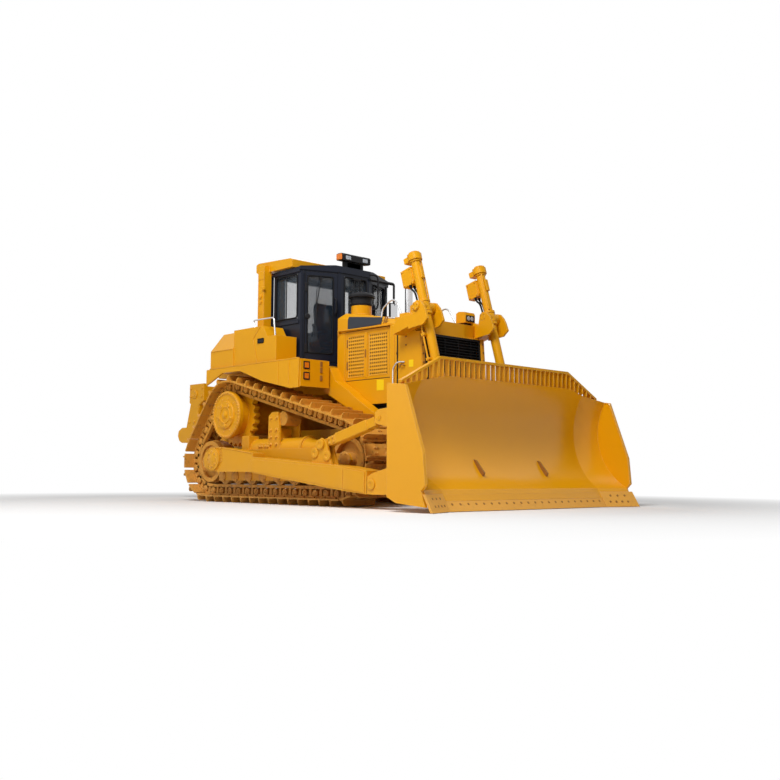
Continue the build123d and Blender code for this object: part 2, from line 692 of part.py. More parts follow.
def tilt_cylinder():
    """Left tilt cylinder in the place of a brace."""
    length = hypot(BRACE_HIGH[0] - BRACE_LOW[0], BRACE_HIGH[1] - BRACE_LOW[1])
    strut = Pos(0, 0, 530) * Cylinder(95, 660)
    strut += Pos(0, 0, 130) * Box(70, 50, 180)
    strut += Pos(0, 0, (860 + length) / 2 - 30) * Cylinder(45, length - 860)
    for eye in strut_ends(length):
        strut += eye
    return along(BRACE_LOW, BRACE_HIGH, -ARM_MIDDLE) * strut


save("tilt_cylinder", tilt_cylinder())

# ---------------------------------------------------------------- fenders, tanks and aprons
FENDER_X = (-1650, 800)
SKIRT_Y = 1430


def fender():
    """Right fender: deck, outer skirt that follows the track, and the box at its front."""
    skirt = side_plate([(-1650, DECK_Z), (-1650, 1900), (-1560, 1930), (-1200, 2070), (-700, 2068),
                        (-110, 1870), (590, 1720), (780, 1724), (800, DECK_Z)], (-SKIRT_Y, -SKIRT_Y + 36))
    deck = block(FENDER_X, (-SKIRT_Y + 30, -932), (DECK_Z - 36, DECK_Z))
    deck += block((560, 800), (-960, -850), (DECK_Z - 36, DECK_Z))
    end = block((770, 800), (-SKIRT_Y + 30, -850), (1740, DECK_Z - 30))
    box = side_plate([(200, 2078), (200, 1890), (590, 1780), (775, 1760), (775, 2078)], (-1180, -850))
    box += block((600, 775), (-1180, -850), (2070, DECK_Z - 30))
    return skirt + deck + end + box


save("fenders", both(fender()))


def side_tank():
    """Right tank on the fender: low rear part with a bevelled top, high front part."""
    rear = extrude(make_face(Plane.YZ * Polyline((-1400, DECK_Z), (-1400, 2450), (-1150, 2760),
                                                 (-990, 2760), (-990, DECK_Z), close=True)),
                   amount=640, dir=(1, 0, 0))
    front = side_plate([(-950, DECK_Z), (-950, 2740), (-180, 2740), (-60, 2560), (170, 2560),
                        (170, DECK_Z)], (-1380, -990))
    return Pos(-1580, 0, 0) * rear + front


save("side_tanks", both(side_tank()))


def fuel_tank():
    """Fuel tank across the back, with bevelled edges."""
    tank = side_plate([(-2030, 2070), (-2100, 2140), (-2100, 2500), (-1900, 2760), (-1002, 2760),
                       (-1002, 2070)], (-930, 930))
    tank += cross_bar((-1500, 2760), 10, (-20, 20)) + upright((-1500, -500), 80, (2700, 2800))
    return tank


save("fuel_tank", fuel_tank())


def apron():
    """Right fairing between the engine bay and the upper run of the track."""
    return side_plate([(640, DECK_Z - 60), (760, DECK_Z - 90), (900, 1845), (1199, 1678), (1334, 1582),
                       (2003, 1190), (2003, 1060), (1400, 1320), (640, 1700)], (-810, -HOOD_HALF))


save("aprons", both(apron()))


def platform():
    """Deck under the cab, and the pedestal that carries it on the rear case."""
    deck = block((-1000, 560), (-960, 960), (2078, DECK_Z - 36))
    pedestal = block((-1900, 480), (-480, 480), (1700, 2070))
    return deck + pedestal + block((-1000, 480), (-480, 480), (2060, 2080))


save("platform", platform())

# ---------------------------------------------------------------- cab
CAB_REAR, CAB_FRONT = -560, 420
CAB_SIDE = 930
CAB_PLAN = [(CAB_REAR, -860), (-500, -CAB_SIDE), (180, -CAB_SIDE), (CAB_FRONT, -300),
            (CAB_FRONT, 300), (180, CAB_SIDE), (-500, CAB_SIDE), (CAB_REAR, 860)]
CAB_FLOOR = DECK_Z - 36
CAB_WALL = 60
DOOR_TURN = degrees(atan2(630, 240))
DOOR_SPAN = (40, 616)        # along the slanted wall from its rear corner
CAB_DOOR_Z = (2200, 3622)
CAB_DOOR_THICK = 54
PANE = 8


def on_door(shape):
    """Places a shape drawn along +X, with its outer face on y = 0, on the right door wall."""
    return Pos(180, -930, 0) * Rot(0, 0, DOOR_TURN) * shape


WINDOWS = [  # (x, y, z) of the fixed windows, as through-cuts in the walls
    ((CAB_FRONT - 70, CAB_FRONT + 10), (-240, 240), (2560, 3590)),
    ((CAB_REAR - 10, CAB_REAR + 70), (-700, 700), (2780, 3580)),
    ((-450, 110), (-CAB_SIDE - 10, -CAB_SIDE + 70), (2880, 3580)),
    ((-450, 110), (CAB_SIDE - 70, CAB_SIDE + 10), (2880, 3580)),
]


def cab_shell():
    """Cab walls with window and door openings, floor, and a roof that rises to its visor."""
    plan = make_face(Polyline(*CAB_PLAN, close=True))
    inner = offset(plan, -CAB_WALL, kind=Kind.INTERSECTION)
    shell = extrude(Pos(0, 0, CAB_FLOOR) * plan, amount=3650 - CAB_FLOOR, dir=(0, 0, 1))
    shell -= extrude(Pos(0, 0, CAB_FLOOR + 50) * inner, amount=3650 - CAB_FLOOR - 50, dir=(0, 0, 1))
    roof = side_plate([(-590, 3640), (-590, 3670), (150, 3685), (400, 3750), (445, 3742), (445, 3640)],
                      (-960, 960))
    eaves = offset(plan, 20, kind=Kind.INTERSECTION)
    shell += roof & extrude(Pos(0, 0, 3600) * eaves, amount=300, dir=(0, 0, 1))
    for window in WINDOWS:
        shell -= block(*window)
    opening = on_door(block(DOOR_SPAN, (-30, CAB_WALL + 60), CAB_DOOR_Z))
    return shell - opening - to_left(opening)


CAB = cab_shell()
save("cab_shell", CAB)


def cab_door():
    """Right cab door: frame around one tall window, with its pull handle."""
    edge = 6
    door = block((DOOR_SPAN[0] + edge, DOOR_SPAN[1] - edge), (0, CAB_DOOR_THICK),
                 (CAB_DOOR_Z[0] + edge, CAB_DOOR_Z[1] - edge))
    door -= block((DOOR_SPAN[0] + 70, DOOR_SPAN[1] - 70), (-5, CAB_DOOR_THICK + 5), DOOR_WINDOW_Z)
    handle = block((552, 592), (-40, 0), (2990, 3190)) - block((546, 598), (-26, 0), (3015, 3165))
    return on_door(door + handle)


DOOR_WINDOW_Z = (2330, 3560)
save_pair("cab_door", cab_door())
DOOR_GLASS = on_door(block((DOOR_SPAN[0] + 70, DOOR_SPAN[1] - 70), (24, 32), DOOR_WINDOW_Z))
save_pair("door_glass", DOOR_GLASS)


def cab_glass():
    """Fixed panes, in the middle of the walls."""
    panes = []
    for x, y, z in WINDOWS:
        thin = x if x[1] - x[0] == 80 else y
        pane = ((thin[0] + thin[1] - PANE) / 2, (thin[0] + thin[1] + PANE) / 2)
        panes.append(block(pane, y, z) if thin is x else block(x, pane, z))
    return Compound([solid for pane in panes for solid in pane.solids()])


save("cab_glass", cab_glass())


def seat():
    """Operator's seat: pedestal, cushion, back and armrests."""
    floor = CAB_FLOOR + 50
    chair = block((-300, 0), (-180, 180), (floor, 2480))
    chair += block((-330, 150), (-260, 260), (2480, 2600))
    chair += side_plate([(-330, 2560), (-240, 2560), (-320, 3280), (-400, 3280)], (-250, 250))
    for side in (-1, 1):
        chair += block((-330, 90), sorted((side * 280, side * 360)), (2700, 2760))
        chair += block((-300, -220), sorted((side * 250, side * 330)), (2500, 2710))
    return chair


save("seat", seat())


def console():
    """Dash under the windscreen with its display and the two side consoles."""
    floor = CAB_FLOOR + 50
    dash = side_plate([(290, floor), (290, 2650), (335, 2740), (355, floor)], (-215, 215))
    dash += block((300, 340), (-120, 120), (2690, 2880))
    for side in (-1, 1):
        dash += side_plate([(-380, floor), (-380, 2620), (40, 2620), (120, floor)],
                           sorted((side * 420, side * 600)))
        dash += upright((0, side * 510), 18, (2600, 2800))
    return Compound(list(dash.solids()))


save("console", console())

# ---------------------------------------------------------------- rollover frame
POST_X = (-700, -540)


def rollover_frame():
    """Two posts on base plates, and the canopy beam over the back of the cab."""
    canopy = side_plate([(-900, 3730), (-900, 3850), (-840, 3872), (0, 3834), (50, 3815),
                         (50, 3694), (-840, 3694)], (-1000, 1000))
    canopy -= side_plate([(-820, 3690), (-820, 3780), (0, 3760), (0, 3690)], (-880, 880))
    for side in (-1, 1):
        canopy += block(POST_X, sorted((side * 960, side * 1100)), (2780, 3790))
        canopy += block((POST_X[0] - 60, POST_X[1] + 60), sorted((side * 940, side * 1150)), (2740, 2780))
    return canopy


save("rollover_frame", rollover_frame())

# ---------------------------------------------------------------- lamps, intake, exhaust, rails
def lamps():
    """Roof lamp bar and the two lamp pods on the radiator guard."""
    bar = block((310, 400), (-290, 290), (3862, 3970)) + block((320, 380), (-200, 200), (3700, 3870)) - CAB
    solids = [*bar.solids()]
    for side in (-1, 1):
        solids += block((400, 440), sorted((side * 150, side * 276)), (3870, 3960)).solids()
        pod = side_plate([(2280, 2710), (2280, 2840), (2330, 2862), (2430, 2850), (2450, 2820), (2450, 2710)],
                         sorted((side * 380, side * 585)))
        foot = block((2310, 2420), sorted((side * 430, side * 535)), (2600, 2720))
        solids += (pod + foot - GUARD).solids()
    return Compound(solids)


save("lamps", lamps())


def pre_cleaner():
    """Air intake: neck on the hood, bowl and domed cap."""
    centre = (945, -335)
    outline = [(0, 2800), (156, 2800), (156, 3030), (166, 3036), (166, 3150), (204, 3156), (208, 3186),
               (170, 3222), (90, 3244), (0, 3250)]
    return Pos(*centre, 0) * revolve(make_face(Plane.XZ * Polyline(*outline, close=True)), axis=Axis.Z)


def exhaust_stack():
    """Exhaust pipe on the hood."""
    centre = (1340, 300)
    return upright(centre, 62, (2800, 3480)) - upright(centre, 54, (3000, 3490))


def above_hood(shape):
    """The part of an upright piece that stands out of the hood."""
    return sorted((shape - HOOD).solids(), key=lambda solid: solid.center().Z)[-1]


save("pre_cleaner", above_hood(pre_cleaner()))
save("exhaust_stack", above_hood(exhaust_stack()))

# ---------------------------------------------------------------- ripper
ARM_RISE = radians(RIPPER_RAISED)
RIPPER_LOW_REAR = (RIPPER_LOW[0] - RIPPER_ARM * cos(ARM_RISE), RIPPER_LOW[1] + RIPPER_ARM * sin(ARM_RISE))
RIPPER_TOP = (RIPPER_LOW[0] + RIPPER_LINK[0], RIPPER_LOW[1] + RIPPER_LINK[1])
RIPPER_TOP_REAR = (RIPPER_LOW_REAR[0] + RIPPER_LINK[0], RIPPER_LOW_REAR[1] + RIPPER_LINK[1])
LIFT_BASE = (-2300, 1250)    # ripper lift cylinder on the bracket
LIFT_EYE = (-3120, 930)      # and on the arm
RIPPER_LIFT_Y = 225


def ripper_bracket():
    """Bracket plates on the rear case, with the four pivots."""
    bracket = Part()
    outline = [(-2061, 560), (-2061, 1560), (-2240, 1560), (-2440, 1400), (-2440, 1300),
               (-2340, 1200), (-2340, 760), (-2520, 640), (-2520, 530), (-2400, 480)]
    base = [(-2061, 1100), (-2061, 1400), (-2240, 1330), (-2360, 1290), (-2360, 1210), (-2240, 1170)]
    for side in (-1, 1):
        for shape, near, far in ((outline, 430, 480), (base, 98, 140), (base, 310, 335)):
            bracket += side_plate(shape, sorted((side * near, side * far)))
    bracket += block((-2120, -2061), (-470, 470), (600, 1540))
    for place, radius in ((RIPPER_LOW, 51), (RIPPER_TOP, 41), (LIFT_BASE, 36)):
        bracket -= cross_bar(place, radius, (-600, 600))
    return bracket


save("ripper_bracket", ripper_bracket())


def ripper_arm():
    """Lower ripper arm: two beams joined by a cross tube, with its pivot pins."""
    frame = along(RIPPER_LOW, RIPPER_LOW_REAR, 0)
    arm = Part()
    for side in (-1, 1):
        beam = Pos(0, side * 365, RIPPER_ARM / 2) * Box(170, 110, RIPPER_ARM - 40)
        for place in (0, RIPPER_ARM):
            beam += Pos(0, side * 365, place) * Rot(90, 0, 0) * Cylinder(105, 110)
        arm += frame * beam
    arm += frame * (Pos(-50, 0, 515) * Box(70, 640, 150))
    for side in (-1, 1):
        for near, far in ((130, 165), (288, 311)):
            arm += cross_bar(LIFT_EYE, 95, sorted((side * near, side * far)))
            arm += frame * (Pos(-20, side * (near + far) / 2, 680) * Box(80, far - near, 220))
    arm -= cross_bar(LIFT_EYE, 75, (-309, 309))
    arm += cross_bar(RIPPER_LOW, 50, (-500, -300)) + cross_bar(RIPPER_LOW, 50, (300, 500))
    arm += cross_bar(RIPPER_LOW_REAR, 50, (-520, -300)) + cross_bar(RIPPER_LOW_REAR, 50, (300, 520))
    return arm


save("ripper_arm", ripper_arm())


def ripper_carriage():
    """Carriage: side plates with the pivots, cross box and the shank's pocket."""
    outline = [(-3130, 1780), (-3130, 2090), (-3600, 2090), (-3600, 1750), (-3560, 1730), (-3690, 1300),
               (-3840, 1300), (-3960, 1240), (-3980, 1150), (-3930, 1060), (-3840, 1020), (-3690, 1016),
               (-3420, 1000), (-3340, 1060), (-3340, 1250), (-3260, 1700)]
    carriage = Part()
    for side in (-1, 1):
        carriage += side_plate(outline, sorted((side * 440, side * 520)))
    carriage += block((-3780, -3620), (-445, 445), (1060, 1290))
    carriage += block((-3600, -3520), (-445, 445), (1760, 2080))
    carriage += block((-4170, -3600), (-130, 130), (1080, 1280))
    carriage += block((-4170, -3560), (-130, 130), (1560, 1760))
    carriage += block((-3790, -3640), (-130, 130), (1270, 1570))
    carriage += block((RIPPER_END, -4160), (-70, 70), (1100, 1260))
    carriage -= block((-4092, -3818), (-48, 48), (1000, 1900))
    for place, radius in ((RIPPER_LOW_REAR, 51), (RIPPER_TOP_REAR, 41)):
        carriage -= cross_bar(place, radius, (-600, 600))
    return carriage


save("ripper_carriage", ripper_carriage())


def ripper_shank():
    """Curved ripper shank with its pointed tooth."""
    shank = side_plate([(-4085, 1960), (-3825, 1960), (-3825, 1050), (-3780, 840), (-3640, 640),
                        (-3560, 560), (-3700, 590), (-3900, 760), (-4085, 1080)], (-42, 42))
    tooth = side_plate([(-3800, 640), (-3640, 650), (-3470, 470), (-3760, 560)], (-62, 62))
    return shank + tooth


save("ripper_shank", ripper_shank())


def ripper_link():
    """The two tilt cylinders, which are the upper links of the linkage."""
    frame = along(RIPPER_TOP, RIPPER_TOP_REAR, 0)
    length = RIPPER_ARM
    link = Part()
    for side in (-1, 1):
        y = side * 385
        link += frame * (Pos(0, y, 0) * Rot(90, 0, 0) * Cylinder(75, 88))
        link += frame * (Pos(0, y, 80) * Box(80, 70, 100))
        link += frame * (Pos(0, y, 410) * Cylinder(72, 580))
        link += frame * (Pos(0, y, 910) * Cylinder(38, 500))
        link += frame * (Pos(0, y, length) * Rot(90, 0, 0) * Cylinder(75, 88))
        link += cross_bar(RIPPER_TOP, 40, sorted((side * 341, side * 480)))
        link += cross_bar(RIPPER_TOP_REAR, 40, sorted((side * 341, side * 520)))
    return Compound(list(link.solids()))


save("ripper_link", ripper_link())


def ripper_lift_barrel():
    """Right ripper lift cylinder barrel on its base pin."""
    frame = along(LIFT_BASE, LIFT_EYE, -RIPPER_LIFT_Y)
    barrel = Rot(90, 0, 0) * Cylinder(70, 120)
    barrel += Pos(0, 0, 410) * Cylinder(78, 700)
    barrel -= Pos(0, 0, 411) * Cylinder(62, 638)
    barrel -= Pos(0, 0, 745) * Cylinder(41, 80)
    barrel += Rot(90, 0, 0) * Cylinder(35, 200)
    return frame * barrel


save_pair("ripper_lift_barrel", ripper_lift_barrel())


def ripper_lift_rod():
    """Right ripper lift rod with piston and eye."""
    length = hypot(LIFT_EYE[0] - LIFT_BASE[0], LIFT_EYE[1] - LIFT_BASE[1])
    frame = along(LIFT_BASE, LIFT_EYE, -RIPPER_LIFT_Y)
    rod = Pos(0, 0, (length + 110) / 2) * Cylinder(40, length - 110)
    rod += Pos(0, 0, 130) * Cylinder(61, 42)
    rod += Pos(0, 0, length) * Rot(90, 0, 0) * Cylinder(70, 110)
    rod += Pos(0, 0, length) * Rot(90, 0, 0) * Cylinder(30, 166)
    return frame * rod


save_pair("ripper_lift_rod", ripper_lift_rod())
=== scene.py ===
"""Dresses the track-type dozer: paint, steel, glass, and the small pieces that the frame leaves out."""
import json

import bmesh
import bpy
import numpy as np
from mathutils import Matrix, Vector


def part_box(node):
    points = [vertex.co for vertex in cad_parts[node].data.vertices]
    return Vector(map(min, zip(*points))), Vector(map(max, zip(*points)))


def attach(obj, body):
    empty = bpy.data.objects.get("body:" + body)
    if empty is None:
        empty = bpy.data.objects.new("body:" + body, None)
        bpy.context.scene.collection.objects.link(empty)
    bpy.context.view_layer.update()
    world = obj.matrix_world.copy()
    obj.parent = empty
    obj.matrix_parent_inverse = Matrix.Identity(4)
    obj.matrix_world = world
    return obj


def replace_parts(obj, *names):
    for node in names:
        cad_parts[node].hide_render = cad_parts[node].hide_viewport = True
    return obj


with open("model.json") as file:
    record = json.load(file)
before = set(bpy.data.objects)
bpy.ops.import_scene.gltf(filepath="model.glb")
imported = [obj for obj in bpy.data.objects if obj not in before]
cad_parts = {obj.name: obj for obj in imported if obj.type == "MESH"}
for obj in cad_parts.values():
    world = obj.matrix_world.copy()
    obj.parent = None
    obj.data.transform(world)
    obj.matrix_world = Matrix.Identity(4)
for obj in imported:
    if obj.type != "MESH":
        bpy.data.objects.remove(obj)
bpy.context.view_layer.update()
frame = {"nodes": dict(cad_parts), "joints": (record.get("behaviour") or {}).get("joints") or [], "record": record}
nodes = frame["nodes"]
joint_at = {joint["name"]: joint.get("pos_m") for joint in frame["joints"]}

# ---------------------------------------------------------------- floor, light and camera
# A level pale floor in an open studio, lit by one broad lamp above the front right corner,
# a weaker one from the left, and an even white sky.  The camera stands low on the right,
# ahead of the blade, and looks slightly up at the machine.


class Socket:
    """One output of a shader node.  + - * / on it, with numbers on either side, add Math nodes."""

    def __init__(self, out):
        self.out = out

    @staticmethod
    def node(tree, kind, settings=None, inputs=None, output=0):
        """Adds a node: its settings or ramp stops first, then the values or links of its sockets."""
        made = tree.nodes.new("ShaderNode" + kind)
        for key, value in (settings or {}).items():
            if key == "stops":
                ramp = made.color_ramp.elements
                while len(ramp) < len(value):
                    ramp.new(0.5)
                for stop, (place, colour) in zip(ramp, value):
                    stop.position, stop.color = place, (*colour, 1)
            else:
                setattr(made, key, value)
        for key, value in (inputs or {}).items():
            if isinstance(value, Socket):
                tree.links.new(value.out, made.inputs[key])
            else:
                made.inputs[key].default_value = value
        return Socket(made.outputs[output]) if made.outputs else None

    def maths(self, operation, left, right):
        return Socket.node(self.out.id_data, "Math", {"operation": operation}, {0: left, 1: right})

    def clamped(self):
        return Socket.node(self.out.id_data, "Clamp", {}, {"Value": self})

    def __add__(self, other):
        return self.maths("ADD", self, other)

    def __sub__(self, other):
        return self.maths("SUBTRACT", self, other)

    def __rsub__(self, other):
        return self.maths("SUBTRACT", other, self)

    def __mul__(self, other):
        return self.maths("MULTIPLY", self, other)

    def __truediv__(self, other):
        return self.maths("DIVIDE", self, other)

    __radd__ = __add__
    __rmul__ = __mul__


FLOOR_HALF = 60.0
FADE_FROM, FADE_OVER = 5.6, 4.0          # metres from the origin where the floor turns plain white
FLOOR_COLOUR = (0.86, 0.86, 0.86, 1)


def seen_rays(tree):
    """1 for rays that the camera, a gloss or a pane sends out, 0 for the rest."""
    kinds = [Socket.node(tree, "LightPath", output=kind)
             for kind in ("Is Camera Ray", "Is Glossy Ray", "Is Transmission Ray")]
    return (kinds[0] + kinds[1] + kinds[2]).clamped()


def empty_material(name):
    """A new material and its cleared node tree."""
    material = bpy.data.materials.new(name)
    material.use_nodes = True
    material.node_tree.nodes.clear()
    return material, material.node_tree


floor_material, tree = empty_material("studio_floor")
place = Socket.node(tree, "TexCoord", output="Object")
away = Socket.node(tree, "VectorMath", {"operation": "LENGTH"}, {0: place}, output="Value")
fade = ((away - FADE_FROM) / FADE_OVER).clamped()
matt = Socket.node(tree, "BsdfDiffuse", {}, {"Color": FLOOR_COLOUR})
white = Socket.node(tree, "Emission", {}, {"Strength": 1.0})
mixed = Socket.node(tree, "MixShader", {}, {"Fac": fade * seen_rays(tree), 1: matt, 2: white})
Socket.node(tree, "OutputMaterial", {}, {"Surface": mixed})

floor_mesh = bpy.data.meshes.new("floor")
floor_mesh.from_pydata([(-FLOOR_HALF, -FLOOR_HALF, 0), (FLOOR_HALF, -FLOOR_HALF, 0),
                        (FLOOR_HALF, FLOOR_HALF, 0), (-FLOOR_HALF, FLOOR_HALF, 0)], [], [(0, 1, 2, 3)])
floor_mesh.materials.append(floor_material)
floor = bpy.data.objects.new("floor", floor_mesh)
bpy.context.collection.objects.link(floor)

world = bpy.data.worlds.new("studio_sky")
world.use_nodes = True
tree = world.node_tree
tree.nodes.clear()
WHITE = (1, 1, 1, 1)
SKY_STRENGTH = 0.24                      # what the white sky gives the machine
soft = Socket.node(tree, "Background", {}, {"Color": WHITE, "Strength": SKY_STRENGTH})
white = Socket.node(tree, "Background", {}, {"Color": WHITE, "Strength": 1.0})
sky = Socket.node(tree, "MixShader", {}, {"Fac": seen_rays(tree), 1: soft, 2: white})
Socket.node(tree, "OutputWorld", {}, {"Surface": sky})
bpy.context.scene.world = world
bpy.context.scene.view_settings.view_transform = "Standard"

LAMPS = [  # name, place, aimed at, width, power in watts
    ("key", (6.0, -8.0, 12.0), (0.5, 0.0, 1.2), 5.0, 1650),
    ("fill", (-3.0, -13.0, 5.5), (-0.5, 0.0, 1.2), 7.0, 200),
    ("rim", (-9.0, 8.0, 9.0), (0.0, 0.0, 1.5), 6.0, 350),
]
for name, place, target, width, power in LAMPS:
    lamp_data = bpy.data.lights.new(name, "AREA")
    lamp_data.shape, lamp_data.size, lamp_data.energy = "SQUARE", width, power
    lamp = bpy.data.objects.new(name, lamp_data)
    away = Vector(place) - Vector(target)
    lamp.matrix_world = Matrix.Translation(place) @ away.to_track_quat("Z", "Y").to_matrix().to_4x4()
    bpy.context.collection.objects.link(lamp)

CAMERA_PLACE = (12.161, -10.368, 0.445)
CAMERA_TURN, CAMERA_RISE, CAMERA_ROLL = np.radians((46.49, 4.923, 0.291))
LENS, SENSOR, SIGHT = 45.5, 36.0, 400.0   # millimetres, and metres that it sees
ahead = np.array((-np.sin(CAMERA_TURN) * np.cos(CAMERA_RISE),
                  np.cos(CAMERA_TURN) * np.cos(CAMERA_RISE), np.sin(CAMERA_RISE)))
level = np.array((np.cos(CAMERA_TURN), np.sin(CAMERA_TURN), 0.0))
upward = np.cross(level, ahead)
right = level * np.cos(CAMERA_ROLL) + upward * np.sin(CAMERA_ROLL)
over = upward * np.cos(CAMERA_ROLL) - level * np.sin(CAMERA_ROLL)
camera_data = bpy.data.cameras.new("camera")
camera_data.lens, camera_data.sensor_width, camera_data.clip_end = LENS, SENSOR, SIGHT
camera = bpy.data.objects.new("camera", camera_data)
turned = Matrix(np.column_stack((right, over, -ahead)).tolist()).to_4x4()
camera.matrix_world = Matrix.Translation(CAMERA_PLACE) @ turned
bpy.context.collection.objects.link(camera)
bpy.context.scene.camera = camera

# ---------------------------------------------------------------- paint on the steelwork
# Welded plate, sprayed with one coat of orange-yellow gloss paint, with a pale painted highlight
# laid along the edges.  It has a faint orange peel, slow changes of shade, and dust low on the machine.
DUST_TOP = 1.4                           # metres above the ground where the dust ends
SPOT_FROM = 0.56                         # noise above this makes a spot
SHADED = (0.80, 0.78, 0.74)              # what a cloud in the paint multiplies it by


def finish(name, colour, roughness, metallic=0.0, coat=0.0, wear=(), edge=0.005, edge_highlight=None,
           cloudy=0.5, gloss=0.12, grain=(55.0, 2.0, 0.06)):
    """A material: base colour shaded by noise, a painted highlight along edges, and dust; roughness; bump on
    rounded edges.

    wear holds (kind, colour, amount) rows, and grain is the bump's scale, detail and strength.
    """
    material, tree = empty_material(name)
    place = Socket.node(tree, "TexCoord", output="Object")

    def noise(scale, detail=3.0):
        return Socket.node(tree, "TexNoise", {}, {"Vector": place, "Scale": scale, "Detail": detail})

    def blended(under, over, mask, how="MIX"):
        return Socket.node(tree, "Mix", {"data_type": "RGBA", "blend_type": how},
                           {"Factor": mask, "A": under, "B": (*over, 1)}, output=2)

    shade = blended((*colour, 1), SHADED, noise(0.9) * cloudy, "MULTIPLY")
    rough = noise(9.0) * 0.12 + (roughness - 0.06)
    bevel = Socket.node(tree, "Bevel", {"samples": 4}, {"Radius": edge})
    if edge_highlight:            # painted highlight along edges: an edge is where the rounded normal leaves the face's own
        own = Socket.node(tree, "NewGeometry", output="Normal")
        same = Socket.node(tree, "VectorMath", {"operation": "DOT_PRODUCT"}, {0: bevel, 1: own},
                           output="Value")
        shade = blended(shade, edge_highlight, ((1 - same) * 6 * noise(20.0)).clamped())
    for kind, other, amount in wear:
        if kind == "dust":       # thickest on the ground
            height = Socket.node(tree, "SeparateXYZ", {}, {"Vector": place}, output="Z")
            mask = ((DUST_TOP - height) * noise(3.5) * amount).clamped()
        else:                    # spots where the noise is high
            mask = ((noise(14.0, 6.0) - SPOT_FROM) * 9 * amount).clamped()
        shade = blended(shade, other, mask)
        rough = rough + mask * 0.25
    scale, detail, strength = grain
    bump = Socket.node(tree, "Bump", {}, {"Strength": strength, "Distance": 0.004,
                                          "Height": noise(scale, detail), "Normal": bevel})
    shader = Socket.node(tree, "BsdfPrincipled", {}, {
        "Base Color": shade, "Roughness": rough, "Metallic": metallic, "Coat Weight": coat,
        "Coat Roughness": 0.2, "Specular IOR Level": gloss, "Normal": bump})
    Socket.node(tree, "OutputMaterial", {}, {"Surface": shader})
    return material


YELLOW = (0.76, 0.345, 0.003)
# pale colour laid along the edges of paint: a painted highlight
PAINTED_HIGHLIGHT = (0.95, 0.60, 0.20)
DUST = (0.55, 0.36, 0.18)
BROWN = (0.20, 0.085, 0.03)
RUST = (0.40, 0.22, 0.09)
yellow_paint = finish("yellow_paint", YELLOW, 0.36, coat=0.08, edge_highlight=PAINTED_HIGHLIGHT,
                      wear=[("dust", DUST, 0.15)])
track_paint = finish("track_paint", (0.66, 0.30, 0.035), 0.5, edge_highlight=PAINTED_HIGHLIGHT,
                     grain=(30.0, 5.0, 0.12), wear=[("dust", DUST, 0.35), ("spot", BROWN, 0.4)])
blade_paint = finish("blade_paint", (0.78, 0.35, 0.003), 0.34, coat=0.7, gloss=0.0,
                     cloudy=0.25, edge_highlight=PAINTED_HIGHLIGHT)
edge_paint = finish("edge_paint", (0.80, 0.40, 0.07), 0.42, edge_highlight=PAINTED_HIGHLIGHT,
                    wear=[("spot", RUST, 0.15)])
bolt_paint = finish("bolt_paint", (0.34, 0.15, 0.035), 0.45, cloudy=0.8)
plain_yellow = finish("plain_yellow", (0.90, 0.62, 0.01), 0.4, cloudy=0.1)
dark_paint = finish("dark_paint", (0.010, 0.013, 0.024), 0.34, coat=0.15)
slate_paint = finish("slate_paint", (0.035, 0.042, 0.055), 0.35, coat=0.1)

# ---------------------------------------------------------------- steel, plastic, rubber and glass
# Chromed rods and bright rails, blued steel, the engine's grey, moulded plastic and extruded
# rubber, and float glass that is tinted in the doors and cast clear or amber in the lamps.
polished_rod = finish("polished_rod", (0.78, 0.78, 0.80), 0.12, metallic=1.0, edge=0.002,
                      cloudy=0.1)
bright_steel = finish("bright_steel", (0.62, 0.62, 0.63), 0.28, metallic=1.0, edge=0.002,
                      cloudy=0.3)
black_steel = finish("black_steel", (0.012, 0.012, 0.013), 0.42)
engine_grey = finish("engine_grey", (0.07, 0.068, 0.065), 0.55)
black_plastic = finish("black_plastic", (0.016, 0.016, 0.018), 0.45)
black_rubber = finish("black_rubber", (0.010, 0.010, 0.011), 0.72, cloudy=0.2)
cab_plastic = finish("cab_plastic", (0.05, 0.05, 0.055), 0.6, grain=(260.0, 2.0, 0.25))


def glass_material(name, tint, clear):
    """Window glass: a sharp reflection over a tint that lets through the share clear."""
    material, tree = empty_material(name)
    shader = Socket.node(tree, "BsdfPrincipled", {}, {
        "Base Color": (*tint, 1), "Roughness": 0.03, "Alpha": 1 - clear, "IOR": 1.5})
    Socket.node(tree, "OutputMaterial", {}, {"Surface": shader})
    return material


tinted_glass = glass_material("tinted_glass", (0.02, 0.03, 0.045), 0.50)
lamp_glass = glass_material("lamp_glass", (0.55, 0.60, 0.66), 0.25)
clear_glass = glass_material("clear_glass", (0.10, 0.13, 0.16), 0.80)
amber_glass = glass_material("amber_glass", (0.85, 0.22, 0.01), 0.15)

FINISHES = {                             # slot of a plain solid: its material
    "yellow_paint": yellow_paint, "dark_paint": dark_paint, "track_steel": track_paint,
    "worn_steel": edge_paint, "bare_steel": polished_rod, "black_steel": black_steel,
    "exhaust_black": bright_steel, "engine_grey": engine_grey, "black_plastic": black_plastic,
    "cab_plastic": cab_plastic, "tinted_glass": tinted_glass, "seat_cloth": cab_plastic,
}
for part in frame["record"]["subparts"]:
    mesh = nodes[part["node"]].data
    mesh.materials.clear()
    mesh.materials.append(FINISHES[part["material_slot"]])
for name, material in (("wheels", track_paint), ("sprockets", yellow_paint), ("moldboard", blade_paint),
                       ("blade_pins", yellow_paint), ("cab_glass", clear_glass)):
    nodes[name].data.materials[0] = material

